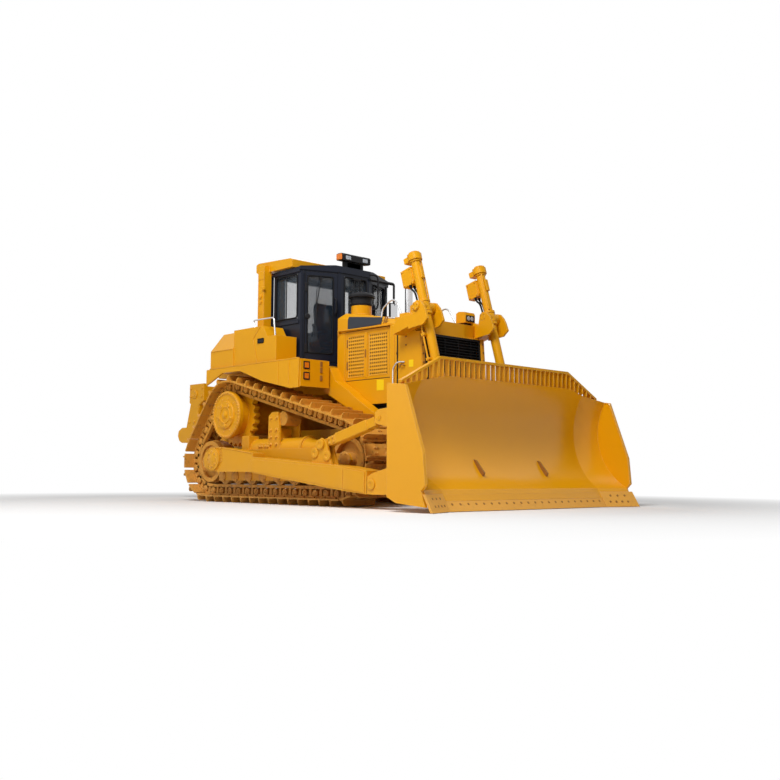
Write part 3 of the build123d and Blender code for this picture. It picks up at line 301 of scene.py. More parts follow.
# ---------------------------------------------------------------- tracks
# A forged chain on either side of each track: rail and flange joined by eyes and a web, pressed
# on pins, with bushings between the rails.  A rolled steel shoe with one tall bar is bolted on
# each pair of links by four bolts.  The whole track is dipped in thin yellow paint.
track_low, track_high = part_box("track_right")
GAUGE = -(track_low[1] + track_high[1]) / 2           # middle of each track from the machine's middle
SHOE_HALF = (track_high[1] - track_low[1]) / 2
SPROCKET, REAR_IDLER, FRONT_IDLER = (-1.120, 1.390), (-1.720, 0.650), (1.730, 0.650)     # (x, z)
WHEELS = np.array((SPROCKET, REAR_IDLER, FRONT_IDLER))
PIN_LINE = 0.474                         # radius of the pins' path round each wheel
SHOES = 43
SHOE = [(0.002, 0.068), (0.002, 0.083), (0.012, 0.092), (0.038, 0.092), (0.046, 0.176), (0.060, 0.176),
        (0.070, 0.096), (0.226, 0.092), (0.238, 0.084), (0.238, 0.068)]   # (along, out) from a pin
BAR_TIP, BAR_CUT, BAR_CUT_TO = slice(4, 6), 0.025, 0.140     # the bar is lower at its two ends
CHAIN_Y = 0.110                          # middle of each chain from the middle of the track
CREASE = np.radians(35)                  # an edge sharper than this isn't shaded smooth


def quads(rows, columns, around=False):
    """Faces of a grid numbered row by row: (i, j), (i, j+1), (i+1, j+1), (i+1, j)."""
    i = np.arange(rows - 1)[:, None]
    j = np.arange(columns if around else columns - 1)[None, :]
    after = (j + 1) % columns
    corners = np.broadcast_arrays(i * columns + j, i * columns + after, (i + 1) * columns + after,
                                  (i + 1) * columns + j)
    return np.stack(corners, -1).reshape(-1, 4)


def loft(rings):
    """Joins rings of points, shaped (ring, point, 3), in turn, and closes the first and the last."""
    rings = np.asarray(rings, float)
    count, size = rings.shape[:2]
    ends = np.stack((np.arange(size)[::-1], np.arange(size) + (count - 1) * size))
    return rings.reshape(-1, 3), [quads(count, size, around=True), ends]


def at_side(y, rows):
    """(x, z) rows as points (x, y, z), at one distance from the machine's middle."""
    return np.insert(np.asarray(rows, float), 1, y, axis=1)


def prism(outline, low, high):
    """Carries a closed (x, z) outline across from y = low to y = high."""
    return loft((at_side(low, outline), at_side(high, outline)))


def lathe(profile, sides=16):
    """Turns (radius, z) rows round the z axis: (r cos t, r sin t, z)."""
    radius, height = np.asarray(profile, float).T
    turn = np.arange(sides) * 2 * np.pi / sides
    rings = np.stack((np.outer(radius, np.cos(turn)), np.outer(radius, np.sin(turn)),
                      np.repeat(height[:, None], sides, 1)), -1)
    return rings.reshape(-1, 3), [quads(len(radius), sides, around=True)]


def disc(radius, height, sides):
    """A flat round plate or plug on z = 0."""
    return lathe([(0, 0), (radius, 0), (radius, height), (0, height)], sides)


def axes(direction):
    """Unit x, y and z axes as rows: z along the direction, y as near to the machine's Y as it goes."""
    z = np.asarray(direction, float) / np.linalg.norm(direction)
    x = np.cross((0, 1, 0) if abs(z[1]) < 0.9 else (0, 0, -1), z)
    x /= np.linalg.norm(x)
    return np.stack((x, np.cross(z, x), z))


def placed(shape, origins, bases=np.eye(3)):
    """The shape at each origin: origin + x·X + y·Y + z·Z, the rows of its basis being X, Y and Z."""
    points, faces = shape
    origins = np.atleast_2d(origins).astype(float)
    bases = np.broadcast_to(bases, (len(origins), 3, 3))
    moved = np.einsum("pk,mkj->mpj", points, bases) + origins[:, None]
    steps = (np.arange(len(origins)) * len(points))[:, None, None]
    return moved.reshape(-1, 3), [(rows[None] + steps).reshape(-1, rows.shape[1]) for rows in faces]


def all_placed(shapes, origins, bases=np.eye(3)):
    """Each of several shapes at each origin."""
    return [placed(shape, origins, bases) for shape in shapes]


def to_left(shapes):
    """The same shapes on the other side of the machine: y turns to -y."""
    return [(points * (1, -1, 1), faces) for points, faces in shapes]


def add_piece(name, shapes, material, body="chassis"):
    """One object at the origin from several closed shapes, its faces turned outwards."""
    firsts = np.cumsum([0] + [len(points) for points, faces in shapes])
    mesh = bpy.data.meshes.new(name)
    mesh.from_pydata(np.concatenate([points for points, faces in shapes]), [],
                     [row for (points, faces), first in zip(shapes, firsts)
                      for rows in faces for row in (rows + first).tolist()])
    tidy = bmesh.new()
    tidy.from_mesh(mesh)
    bmesh.ops.remove_doubles(tidy, verts=tidy.verts, dist=1e-6)
    bmesh.ops.recalc_face_normals(tidy, faces=tidy.faces)
    tidy.to_mesh(mesh)
    tidy.free()
    mesh.shade_smooth()
    mesh.set_sharp_from_angle(angle=CREASE)
    mesh.materials.append(material)
    piece = bpy.data.objects.new(name, mesh)
    bpy.context.collection.objects.link(piece)
    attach(piece, body)
    return piece


def add_pair(name, shapes, material, body="chassis"):
    """The piece on the right and its twin on the left; {} in the names takes the side."""
    return [add_piece(name.format(side), build, material, body.format(side))
            for side, build in (("right", shapes), ("left", to_left(shapes)))]


def bolt(size, height, sides=6):
    """Bolt head on z = 0: a flange, then its sides, a chamfer and a flat top."""
    flange = [(0, 0), (size * 1.35, 0), (size * 1.35, height * 0.2), (size, height * 0.2)]
    return lathe([*flange, (size, height * 0.85), (size * 0.85, height), (0, height)], sides)


def on_loop(share):
    """Pin line at shares of its length from the sprocket's top: arcs round the wheels, joined by runs.

    On an arc the heading h grows by distance / radius, and a place is centre + R(sin h, -cos h).
    On a run it goes on along (cos h, sin h).
    """
    runs = np.roll(WHEELS, -1, axis=0) - WHEELS
    heading = np.arctan2(runs[:, 1], runs[:, 0])
    turn = (heading - np.roll(heading, 1)) % (2 * np.pi)
    legs = np.column_stack((turn * PIN_LINE, np.hypot(*runs.T))).ravel()
    starts = np.concatenate(([0.0], np.cumsum(legs)))
    distance = share * starts[-1]
    leg = np.searchsorted(starts, distance, side="right") - 1
    gone, wheel, on_arc = distance - starts[leg], leg // 2, leg % 2 == 0
    h = np.where(on_arc, np.roll(heading, 1)[wheel] + gone / PIN_LINE, heading[wheel])
    run = np.where(on_arc, 0.0, gone)
    return WHEELS[wheel] + np.column_stack((PIN_LINE * np.sin(h) + run * np.cos(h),
                                            -PIN_LINE * np.cos(h) + run * np.sin(h)))


OUTWARD, INWARD, FORWARD = axes((0, -1, 0)), axes((0, 1, 0)), axes((1, 0, 0))     # of the right side
pins = on_loop(np.arange(SHOES) / SHOES)
steps = np.roll(pins, -1, axis=0) - pins
steps /= np.linalg.norm(steps, axis=1)[:, None]
# each link's own axes: x along the chain, y across, z out of the loop
link_axes = np.stack((at_side(0, steps), np.tile((0.0, 1.0, 0.0), (SHOES, 1)),
                      at_side(0, steps[:, ::-1] * (1, -1))), axis=1)
pin_places = at_side(-GAUGE, pins)

shoe_end = np.array(SHOE)
shoe_end[BAR_TIP, 1] = BAR_CUT_TO
shoe = loft([at_side(-SHOE_HALF, shoe_end), at_side(BAR_CUT - SHOE_HALF, SHOE),
             at_side(SHOE_HALF - BAR_CUT, SHOE), at_side(SHOE_HALF, shoe_end)])
shoe_bolts = placed(bolt(0.017, 0.014), [(along, across, 0.094) for along in (0.105, 0.185)
                                         for across in (-0.125, -0.080, 0.080, 0.125)])
shoes = add_pair("track_shoes_{}", all_placed((shoe, shoe_bolts), pin_places, link_axes), track_paint)
for shoe_piece, side in zip(shoes, ("right", "left")):
    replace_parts(shoe_piece, f"track_{side}")

rail_bar = prism([(0.002, -0.106), (0.238, -0.106), (0.250, -0.060), (-0.010, -0.060)], -0.030, 0.030)
flange = prism([(0.030, 0.040), (0.210, 0.040), (0.225, 0.068), (0.015, 0.068)], -0.032, 0.032)
web = prism([(0.098, -0.062), (0.142, -0.062), (0.152, 0.042), (0.088, 0.042)], -0.022, 0.022)
eye = placed(lathe([(0, -0.036), (0.050, -0.036), (0.056, -0.028), (0.056, 0.028), (0.050, 0.036),
                    (0, 0.036)], 14), [(0, 0, 0)], INWARD)
pin_end = placed(lathe([(0, -0.004), (0.012, -0.004), (0.018, 0.006), (0.027, 0.006), (0.030, 0),
                        (0.030, -0.010), (0, -0.010)], 10), [(0, -0.038 - CHAIN_Y, 0)], OUTWARD)
bushing = placed(lathe([(0, -0.076), (0.034, -0.076), (0.034, 0.076), (0, 0.076)], 10), [(0, 0, 0)], INWARD)
links = all_placed((rail_bar, flange, web, eye), [(0, -CHAIN_Y, 0), (0, CHAIN_Y, 0)])
add_pair("track_links_{}", all_placed([*links, pin_end, bushing], pin_places, link_axes), track_paint)

# ---------------------------------------------------------------- sprocket hubs and rollers
# Cast final drive covers with a ring of capscrews near the rim and a raised, lobed boss in the
# middle.  Every roller ends in a cast collar held to the guard by four bolts.
HUB_FACE, COLLAR_FACE = -1.387, -1.329   # outer faces on the right side
ROLLERS = at_side(COLLAR_FACE, [(-1.270 + 0.360 * i, 0.412) for i in range(8)])
IDLERS = at_side(COLLAR_FACE, (REAR_IDLER, FRONT_IDLER))
LOBES = 5                                # round knobs about the boss


def ring_of(count, radius, height=0.0, start=0.0):
    """Places round the z axis: (r cos t, r sin t, h)."""
    turn = start + np.arange(count) * 2 * np.pi / count
    return np.column_stack((radius * np.cos(turn), radius * np.sin(turn), np.full(count, height)))


hub = [lathe([(0.380, -0.040), (0.383, -0.010), (0.372, 0.008), (0.334, 0.010), (0.326, 0.000),
              (0.326, -0.040)], 64),
       placed(bolt(0.013, 0.016), ring_of(44, 0.353, 0.008)),
       lathe([(0, 0.020), (0.212, 0.020), (0.220, 0.014), (0.225, 0), (0, 0)], 48),
       lathe([(0.118, 0.020), (0.122, 0.034), (0.140, 0.034), (0.146, 0.020)], 40),
       lathe([(0, 0.045), (0.038, 0.045), (0.056, 0.034), (0.060, 0.020), (0, 0.020)], 24),
       placed(lathe([(0, 0.034), (0.026, 0.034), (0.036, 0.028), (0.040, 0.020), (0, 0.020)], 14),
              ring_of(LOBES, 0.172, 0.0, 0.3)),
       placed(bolt(0.014, 0.014), ring_of(LOBES, 0.172, 0.034, 0.3)),
       placed(bolt(0.010, 0.012), ring_of(LOBES, 0.186, 0.020, 0.62)),
       placed(bolt(0.010, 0.012), ring_of(2 * LOBES, 0.270, 0.0, 0.1))]
add_pair("hub_cover_{}", all_placed(hub, at_side(HUB_FACE, [SPROCKET]), OUTWARD), yellow_paint)

collar = [lathe([(0, 0), (0.088, 0), (0.088, 0.010), (0.072, 0.024), (0.040, 0.030), (0, 0.030)], 20),
          placed(bolt(0.013, 0.014), ring_of(4, 0.074, 0.014, np.pi / 4))]
idler_cap = [lathe([(0, 0), (0.120, 0), (0.120, 0.014), (0.104, 0.024), (0.060, 0.030), (0, 0.030)], 28),
             placed(bolt(0.013, 0.014), ring_of(6, 0.096, 0.020))]
add_pair("roller_collars_{}", all_placed(collar, ROLLERS, OUTWARD) + all_placed(idler_cap, IDLERS, OUTWARD),
         track_paint)

# ---------------------------------------------------------------- roller frames
# The recoil tube is welded on each roller frame, with a cap at its front and two blocks below
# it.  The carrier roller hangs from a cast bracket bolted to the frame's side.
RECOIL_HIGH = 0.835                      # middle of the tube
BRACKET_FACE, FRAME_FACE = -1.300, -1.320


def block(low, high, cut=0.006):
    """A box with its edges cut off: four rings of eight points, the end rings drawn in by the cut."""
    low, high = np.asarray(low, float), np.asarray(high, float)
    middle, half = (low + high) / 2, (high - low) / 2
    x, y = half[0] - np.array((cut, 0, 0, cut)), half[1] - np.array((cut, 0, 0, cut))
    z = np.array((-half[2], cut - half[2], half[2] - cut, half[2]))
    rings = np.stack((np.stack((x, x, x - cut, cut - x, -x, -x, cut - x, x - cut), 1),
                      np.stack((cut - y, y - cut, y, y, y - cut, cut - y, -y, -y), 1),
                      np.repeat(z[:, None], 8, 1)), -1)
    return loft(rings + middle)


def rounded(path, bend, steps=6):
    """Each inner corner P becomes (1-t)²A + 2t(1-t)P + t²B, A and B being bend before and after it."""
    path = np.asarray(path, float)
    corner = path[1:-1, None]
    before, after = path[:-2, None] - corner, path[2:, None] - corner
    reach = [side * np.minimum(bend / np.linalg.norm(side, axis=-1, keepdims=True), 0.48)
             for side in (before, after)]
    t = np.linspace(0, 1, steps)[None, :, None]
    curve = (1 - t) ** 2 * (corner + reach[0]) + 2 * t * (1 - t) * corner + t ** 2 * (corner + reach[1])
    return np.concatenate((path[:1], curve.reshape(-1, 3), path[-1:]))


def pipe(path, radius, bend=0.05, sides=10):
    """A round bar along a path with rounded corners: c + r(cos t·n + sin t·b).

    n is square to the path and to b, and starts from the direction that the whole path leaves least.
    """
    centre = rounded(path, bend) if len(path) > 2 else np.asarray(path, float)
    tangent = np.gradient(centre, axis=0)
    tangent /= np.linalg.norm(tangent, axis=1)[:, None]
    n = np.linalg.svd(tangent)[2][-1] * np.ones_like(tangent)
    n -= tangent * np.sum(n * tangent, axis=1)[:, None]
    n /= np.linalg.norm(n, axis=1)[:, None]
    b = np.cross(tangent, n)
    turn = np.arange(sides) * 2 * np.pi / sides
    around = np.cos(turn)[None, :, None] * n[:, None] + np.sin(turn)[None, :, None] * b[:, None]
    return loft(centre[:, None] + radius * around)


tube = lathe([(0, 0), (0.150, 0), (0.165, 0.02), (0.165, 1.30), (0.125, 1.46), (0.125, 1.62),
              (0, 1.62)], 28)
tube_band = lathe([(0.150, 0), (0.188, 0), (0.188, 0.05), (0.150, 0.05)], 28)
bracket = [(-0.110, 0.820), (-0.095, 1.335), (-0.010, 1.395), (0.140, 1.395), (0.170, 1.200),
           (0.190, 0.820)]
bracket_bolts = at_side(BRACKET_FACE, [(x, z) for x in (-0.035, 0.105) for z in (0.90, 1.01, 1.12, 1.30)])
housing = [placed(tube, [(-0.60, -GAUGE, RECOIL_HIGH)], FORWARD),
           placed(tube_band, [(0.66, -GAUGE, RECOIL_HIGH)], FORWARD),
           block((-0.770, FRAME_FACE, 0.800), (-0.580, -1.120, 1.045)),
           block((-0.330, FRAME_FACE, 0.820), (-0.040, -1.260, 0.915)),
           prism(bracket, BRACKET_FACE, -1.262),
           block((-0.060, -1.290, 0.830), (0.130, -1.020, 1.140)),
           placed(bolt(0.022, 0.022), bracket_bolts, OUTWARD),
           placed(bolt(0.020, 0.020), [(x, FRAME_FACE, 0.868) for x in (-0.290, -0.230, -0.140, -0.080)],
                  OUTWARD)]
add_pair("recoil_housing_{}", housing, yellow_paint)

# ---------------------------------------------------------------- push arms
# A welded box with a cap bolted over its trunnion, doubler plates at its knee and middle, steel
# washers over its pins, and an oil line along its top.
TRUNNION = (joint_at["blade_lift"][0], -1.735, joint_at["blade_lift"][2])     # middle of the cap
BRACE_LOW, BRACE_HIGH = (1.630, 0.860), (2.850, 1.180)                        # its pins, (x, z)
LOW_PIN, FRONT_PIN = (BRACE_LOW[0], -1.690, BRACE_LOW[1]), (2.730, -1.742, 0.320)
ARM_SKIN, BRACE_Y, OIL_LINE_Y = -1.730, -1.610, -1.702

trunnion_cap = lathe([(0, 0.014), (0.080, 0.014), (0.092, 0.008), (0.130, 0.008), (0.140, 0),
                      (0.140, -0.02), (0, -0.02)], 36)
washer = lathe([(0, -0.010), (0.072, -0.010), (0.072, 0.012), (0.064, 0.018), (0.030, 0.018),
                (0.026, 0.010), (0, 0.010)], 24)
lug_bolts = at_side(-1.700, [(-0.790, 0.840), (-0.785, 0.795), (-0.780, 0.750), (-0.775, 0.700),
                             (-0.770, 0.655)])
front_plate = [(2.190, 0.262), (2.190, 0.528), (2.610, 0.480), (2.610, 0.212)]
knee_plate = [(0.060, 0.486), (0.130, 0.664), (0.990, 0.606), (2.170, 0.534), (2.170, 0.260),
              (0.540, 0.448)]
oil_line = at_side(OIL_LINE_Y, [(-1.190, 0.806), (-1.050, 0.866), (-0.700, 0.846), (0.030, 0.762)])
arm = [placed(trunnion_cap, [TRUNNION], OUTWARD),
       placed(placed(bolt(0.014, 0.014), ring_of(8, 0.112, 0.008)), [TRUNNION], OUTWARD),
       placed(washer, [FRONT_PIN, LOW_PIN], OUTWARD),
       placed(bolt(0.018, 0.016), lug_bolts, OUTWARD),
       placed(washer, [(1.500, -1.675, 0.740), (1.760, -1.675, 0.700)], OUTWARD),
       prism(front_plate, -1.758, ARM_SKIN), prism(knee_plate, -1.750, ARM_SKIN),
       pipe(oil_line, 0.008, 0.02, 6)]
add_pair("push_arm_fittings_{}", arm, yellow_paint, "blade")

# ---------------------------------------------------------------- brace and tilt cylinder
# The right side has a screw brace: a split clamp bolted on its tube.  The left side has the
# tilt cylinder in its place, with a bolted gland and an oil line along its barrel.
brace_axes = axes((BRACE_HIGH[0] - BRACE_LOW[0], 0, BRACE_HIGH[1] - BRACE_LOW[1]))
brace_foot = (BRACE_LOW[0], BRACE_Y, BRACE_LOW[1])
clamp = [block((-0.072, -0.066, 0.300), (0.072, 0.066, 0.960), 0.010),
         block((-0.052, -0.060, 0.130), (0.052, 0.060, 0.310), 0.012),
         placed(bolt(0.016, 0.016), at_side(-0.060, [(x, z) for x in (-0.030, 0.030) for z in (0.17, 0.25)]),
                OUTWARD)]
add_piece("brace_clamp", all_placed(clamp, brace_foot, brace_axes), yellow_paint, "blade")
tilt = [lathe([(0, 0.180), (0.084, 0.180), (0.104, 0.196), (0.104, 0.262), (0.097, 0.270), (0.097, 0.790),
               (0.110, 0.796), (0.110, 0.876), (0.060, 0.884), (0, 0.884)], 32),
        placed(bolt(0.014, 0.016), ring_of(8, 0.088, 0.878)),
        pipe([(-0.080, 0, 0.230), (-0.130, 0, 0.250), (-0.130, 0, 0.800), (-0.080, 0, 0.830)], 0.014, 0.03)]
add_piece("tilt_cylinder_fittings", all_placed(tilt, np.multiply(brace_foot, (1, -1, 1)), brace_axes),
          yellow_paint, "blade")

# ---------------------------------------------------------------- blade
# Hardened cutting edge and end bits, held to the moldboard by flush plough bolts whose heads
# rust brown.  Two small tabs are welded low on its face, and a bead runs round each side plate.
edge_low, edge_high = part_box("cutting_edge")
EDGE_TOP, EDGE_FOOT = np.array((3.930, 0.140)), np.array((4.030, edge_low[2]))     # (x, z)
EDGE_BOLTS, EDGE_BOLT_SPAN, DOWN_THE_EDGE = 22, 1.54, 0.36
BIT_INNER, BIT_OUTER = 1.640, edge_high[1]            # the end bit's foot goes forward between these
BIT_UP = np.array((-0.5145, 0, 0.8575))  # up its slanted face
BIT_BOLTS = [(0.10, 0.085), (0.20, 0.085), (0.30, 0.085), (0.40, 0.085),
             (0.15, 0.185), (0.27, 0.185), (0.39, 0.185)]                          # (across, up)
TABS, TAB_HALF = (-0.62, 0.72), 0.014    # their places across the blade

plough_bolt = lathe([(0, -0.004), (0.017, -0.004), (0.017, 0.003), (0.012, 0.005), (0, 0.005)], 12)
edge_axes = axes((EDGE_TOP[1] - EDGE_FOOT[1], 0, EDGE_FOOT[0] - EDGE_TOP[0]))
x, z = EDGE_TOP + (EDGE_FOOT - EDGE_TOP) * DOWN_THE_EDGE
row = [(x, y, z) for y in np.linspace(-EDGE_BOLT_SPAN, EDGE_BOLT_SPAN, EDGE_BOLTS)]
add_piece("cutting_edge_bolts", [placed(plough_bolt, row, edge_axes)], bolt_paint, "blade")

for side, name in ((-1, "end_bit_bolts_right"), (1, "end_bit_bolts_left")):
    inner = np.array((EDGE_FOOT[0], side * BIT_INNER, EDGE_FOOT[1]))
    across = np.array((edge_high[0], side * BIT_OUTER, EDGE_FOOT[1])) - inner
    across /= np.linalg.norm(across)
    spots = [inner + across * along + BIT_UP * up for along, up in BIT_BOLTS]
    add_piece(name, [placed(plough_bolt, spots, axes(np.cross(across, BIT_UP) * side))], bolt_paint,
              "blade")

tab = [(3.500, 0.655), (3.545, 0.640), (3.690, 0.475), (3.650, 0.425), (3.560, 0.500)]
add_piece("moldboard_tabs", [prism(tab, y - TAB_HALF, y + TAB_HALF) for y in TABS], bolt_paint, "blade")

bead = [(3.462, 1.556), (3.764, 1.524), (4.068, 0.702), (4.101, 0.331), (4.034, 0.262)]
add_piece("side_plate_beads", [pipe(at_side(y, bead), 0.009, 0.04, 6) for y in (-2.1145, 2.1145)],
          blade_paint, "blade")

# ---------------------------------------------------------------- lift cylinders
# Honed tubes hung in trunnions: a bolted cap and a valve block at the head, a bolted gland at
# the foot, a steel oil line clamped along the tube and hoses down to the trunnion.
YOKE = joint_at["lift_barrel_swing_right"]
LIFT_Y = YOKE[1]
ROD_EYE = (3.296, LIFT_Y, 0.500)
lift_axes = axes(np.subtract(ROD_EYE, YOKE))          # z down the tube, x to the machine's rear
VALVE_X, VALVE_Z, VALVE_SIDE = (0.090, 0.235), (-0.620, -0.415), 0.065
HOSES = (-0.040, 0.040)

band = lathe([(0.066, 0), (0.090, 0.006), (0.090, 0.040), (0.066, 0.046)], 32)
barrel = [
    placed(bolt(0.015, 0.018), ring_of(8, 0.086, -0.805), axes((0, 0, -1))),
    lathe([(0.067, -0.715), (0.084, -0.715), (0.084, -0.690), (0.067, -0.684)], 32),
    placed(band, [(0, 0, -0.110), (0, 0, 0.070)]),
    lathe([(0.066, 0.955), (0.083, 0.962), (0.083, 1.030), (0.080, 1.042), (0.041, 1.042),
           (0.041, 1.030)], 32),
    placed(bolt(0.009, 0.012), ring_of(10, 0.062, 1.042)),
    pipe([(0.050, -0.072, 0.118), (0.040, -0.106, 0.135), (0.040, -0.106, 0.930), (0.030, -0.060, 0.975)],
         0.013, 0.03),
    *(block((0.010, -0.125, z), (0.070, -0.050, z + 0.04), 0.004) for z in (0.38, 0.74)),
    pipe([(-0.060, 0.050, -0.690), (-0.060, 0.050, -0.120)], 0.011),
    block((-0.094, -0.030, -0.600), (-0.062, 0.030, -0.420), 0.003),
    block((0.262, -0.055, -0.625), (0.276, 0.055, -0.410), 0.004),
    *(placed(bolt(0.012, 0.014), [(x, y, z) for x in VALVE_X for z in VALVE_Z], turn)
      for y, turn in ((-VALVE_SIDE, OUTWARD), (VALVE_SIDE, INWARD)))]
add_pair("lift_barrel_fittings_{}", all_placed(barrel, YOKE, lift_axes), yellow_paint, "lift_barrel_{}")
hoses = [pipe([(0.150, y, -0.395), (0.150, y, -0.340), (0.098, y * 0.7, -0.270), (0.088, y * 0.7, -0.085)],
              0.014, 0.06) for y in HOSES]
hoses.append(placed(disc(0.022, 0.035, 6), [(0.150, y, -0.397) for y in HOSES]))
add_pair("lift_hoses_{}", all_placed(hoses, YOKE, lift_axes), black_rubber, "lift_barrel_{}")

# ---------------------------------------------------------------- radiator guard
# A folded steel box: caps over the cylinders' pins, bolted strips down both edges of the
# grille, a bent hook and a pull rail on its side, and a lamp in a yellow shell on each corner.
LEAN, FRONT_X, FRONT_Z = 0.065, 2.556, 2.360          # the front goes back by LEAN a metre of height
GUARD_FACE, STRIP_LOW, STRIP_HIGH, STRIP_THICK = -0.670, 1.22, 2.44, 0.012
LAMP_Z, LENSES = 2.764, (-0.520, -0.445)
SEAM_LOW, SEAM_HIGH = 1.20, 2.66


def front_x(z):
    """The guard's sloping front face at a height."""
    return FRONT_X + (FRONT_Z - z) * LEAN


cap = [lathe([(0, 0), (0.064, 0), (0.064, 0.014), (0.054, 0.024), (0, 0.024)], 24),
       placed(bolt(0.011, 0.012), ring_of(4, 0.044, 0.023, 0.6))]
strip = [(front_x(STRIP_LOW), STRIP_LOW), (front_x(STRIP_LOW) + STRIP_THICK, STRIP_LOW),
         (front_x(STRIP_HIGH) + STRIP_THICK, STRIP_HIGH), (front_x(STRIP_HIGH), STRIP_HIGH)]
lamp_shell = [(2.270, 2.700), (2.270, 2.846), (2.326, 2.870), (2.434, 2.858), (2.452, 2.826),
              (2.452, 2.700)]
guard = [*all_placed(cap, (YOKE[0], LIFT_Y - 0.175, YOKE[2]), OUTWARD),
         *all_placed(cap, (YOKE[0], LIFT_Y + 0.140, YOKE[2]), INWARD),
         prism(strip, -0.664, -0.608), prism(lamp_shell, -0.592, -0.373)]
add_pair("guard_fittings_{}", guard, yellow_paint)

strip_bolts = at_side(-0.636, [(front_x(z) + STRIP_THICK, z) for z in np.linspace(1.28, 2.38, 10)])
edge_bolts = at_side(GUARD_FACE, [(2.085, z) for z in (1.40, 1.62, 2.18, 2.50)])
yoke_bolts = at_side(GUARD_FACE, [(2.270, z) for z in (2.28, 2.40)])
guard_bolts = [placed(bolt(0.012, 0.013), strip_bolts, axes((1, 0, LEAN))),
               placed(bolt(0.012, 0.013), edge_bolts, OUTWARD), placed(bolt(0.011, 0.012), yoke_bolts, OUTWARD)]
add_pair("guard_bolts_{}", guard_bolts, bolt_paint)
rail = [(2.060, -0.668, 1.640), (2.052, -0.715, 1.660), (2.052, -0.715, 1.960), (2.140, -0.715, 2.045),
        (2.240, -0.668, 2.040)]
add_pair("guard_rail_{}", [pipe(rail, 0.012, 0.05)], bright_steel)
hook = [(2.240, -0.666, 1.985), (2.262, -0.700, 1.990), (2.190, -0.706, 2.010), (2.180, -0.706, 1.950)]
add_pair("guard_hook_{}", [pipe(hook, 0.009, 0.02)], bolt_paint)

add_piece("radiator_core", [block((2.452, -0.598, 1.300), (2.468, 0.598, 2.440), 0.001)], black_rubber)
add_pair("guard_lamp_bezel_{}", [block((2.448, -0.572, 2.716), (2.460, -0.395, 2.812), 0.004)],
         black_plastic)
lens = lathe([(0, 0.006), (0.030, 0.004), (0.034, 0), (0, 0)], 20)
add_pair("guard_lamp_lens_{}", [placed(lens, [(2.460, y, LAMP_Z) for y in LENSES], FORWARD)], lamp_glass)
seams = [prism([(back, SEAM_LOW), (back, SEAM_HIGH), (front, SEAM_HIGH), (front, SEAM_LOW)], out, inner)
         for back, front, out, inner in ((2.006, 2.038, -0.600, -0.586), (2.086, 2.110, -0.673, -0.668))]
add_pair("guard_seam_{}", seams, black_rubber)
add_pair("guard_tags_{}", [block((2.330, -0.6745, 1.960), (2.420, -0.6695, 2.060), 0.001)], plain_yellow)

# ---------------------------------------------------------------- engine doors
# Pressed doors with two fields punched with slanted slots in front of a black sheet of painted
# shade, a rolled edge round each field, a stile between them with the latch on it, and pull-out hinges.
SCREEN_Y, FIELD_LOW, FIELD_HIGH, SLOT_ROWS = -0.6205, 1.905, 2.525, 12
SHADE_SHEET_OUT, SHADE_SHEET_IN, SHADE_SHEET_LAP = -0.6125, -0.6105, 0.003
FIELDS = [(0.975, 1.325, 8), (1.445, 1.832, 9)]       # from x, to x, columns of slots
CORNERS = 12                             # points round a slot
SLOT_REACH, SLOT_SLANT = (0.31, 0.27), 0.35


def punched(x, z, columns, rows, thick=0.004):
    """A sheet on y = 0 with a slanted slot in each cell of a grid.

    The cell's edge is a square and the slot a leaning ellipse, both drawn with points at the same
    angles; faces join the two, and the slot's wall goes back by the sheet's thickness.
    """
    turn = (np.arange(CORNERS) + 0.5) * 2 * np.pi / CORNERS
    size = np.array(((x[1] - x[0]) / columns, (z[1] - z[0]) / rows))
    circle = np.stack((np.cos(turn), np.sin(turn)), 1)
    square = circle / np.abs(circle).max(axis=1, keepdims=True) * size / 2
    slot = circle * SLOT_REACH * size
    slot[:, 1] += slot[:, 0] * SLOT_SLANT
    grid = np.stack(np.meshgrid(x[0] + (np.arange(columns) + 0.5) * size[0],
                                z[0] + (np.arange(rows) + 0.5) * size[1]), -1).reshape(-1, 1, 2)
    rings = [np.insert(grid + ring, 1, depth, axis=2)
             for ring, depth in ((square, 0.0), (slot, 0.0), (slot, thick), (square, thick), (square, 0.0))]
    faces = quads(len(rings), CORNERS, around=True)
    cells = (np.arange(len(grid)) * len(rings) * CORNERS)[:, None, None]
    return np.stack(rings, 1).reshape(-1, 3), [(faces[None] + cells).reshape(-1, 4)]


screens = [placed(punched((back, front), (FIELD_LOW, FIELD_HIGH), columns, SLOT_ROWS), [(0, SCREEN_Y, 0)])
           for back, front, columns in FIELDS]
for back, front, columns in FIELDS:      # the rolled edge, 2 mm outside the field
    low, high = FIELD_LOW - 0.002, FIELD_HIGH + 0.002
    edge = [(back, low), (back, high), (front, high), (front, low), (back, low)]
    screens.append(pipe(at_side(SCREEN_Y, edge), 0.006, 0.02, 6))
add_pair("door_screens_{}", screens, yellow_paint, "engine_door_{}")
# Black sheets close behind the slotted fields: painted shade seen through the slots.
shade_sheets = [block((back - SHADE_SHEET_LAP, SHADE_SHEET_OUT, FIELD_LOW - SHADE_SHEET_LAP),
                 (front + SHADE_SHEET_LAP, SHADE_SHEET_IN, FIELD_HIGH + SHADE_SHEET_LAP), 0.0005)
           for back, front, columns in FIELDS]
add_pair("door_screen_backs_{}", shade_sheets, black_rubber, "engine_door_{}")
add_pair("door_stile_{}", [block((1.356, -0.634, 1.880), (1.402, -0.618, 2.560), 0.004)], yellow_paint,
         "engine_door_{}")
latches = [block((1.366, -0.646, 2.180), (1.392, -0.634, 2.300), 0.004)]
latches += [block((0.944, -0.636, z), (0.966, -0.618, z + 0.12)) for z in (2.02, 2.36)]
add_pair("door_latches_{}", latches, bolt_paint, "engine_door_{}")

# ---------------------------------------------------------------- hood
# Pressed sheet: a drip flange over the doors, posts beside them, a slate-painted panel with two
# short stripes above, a plain tag below, and a bent rail for climbing onto it.
SKIN = -0.6185                           # half a millimetre behind its side's outer face
RAIL_Y = -0.560

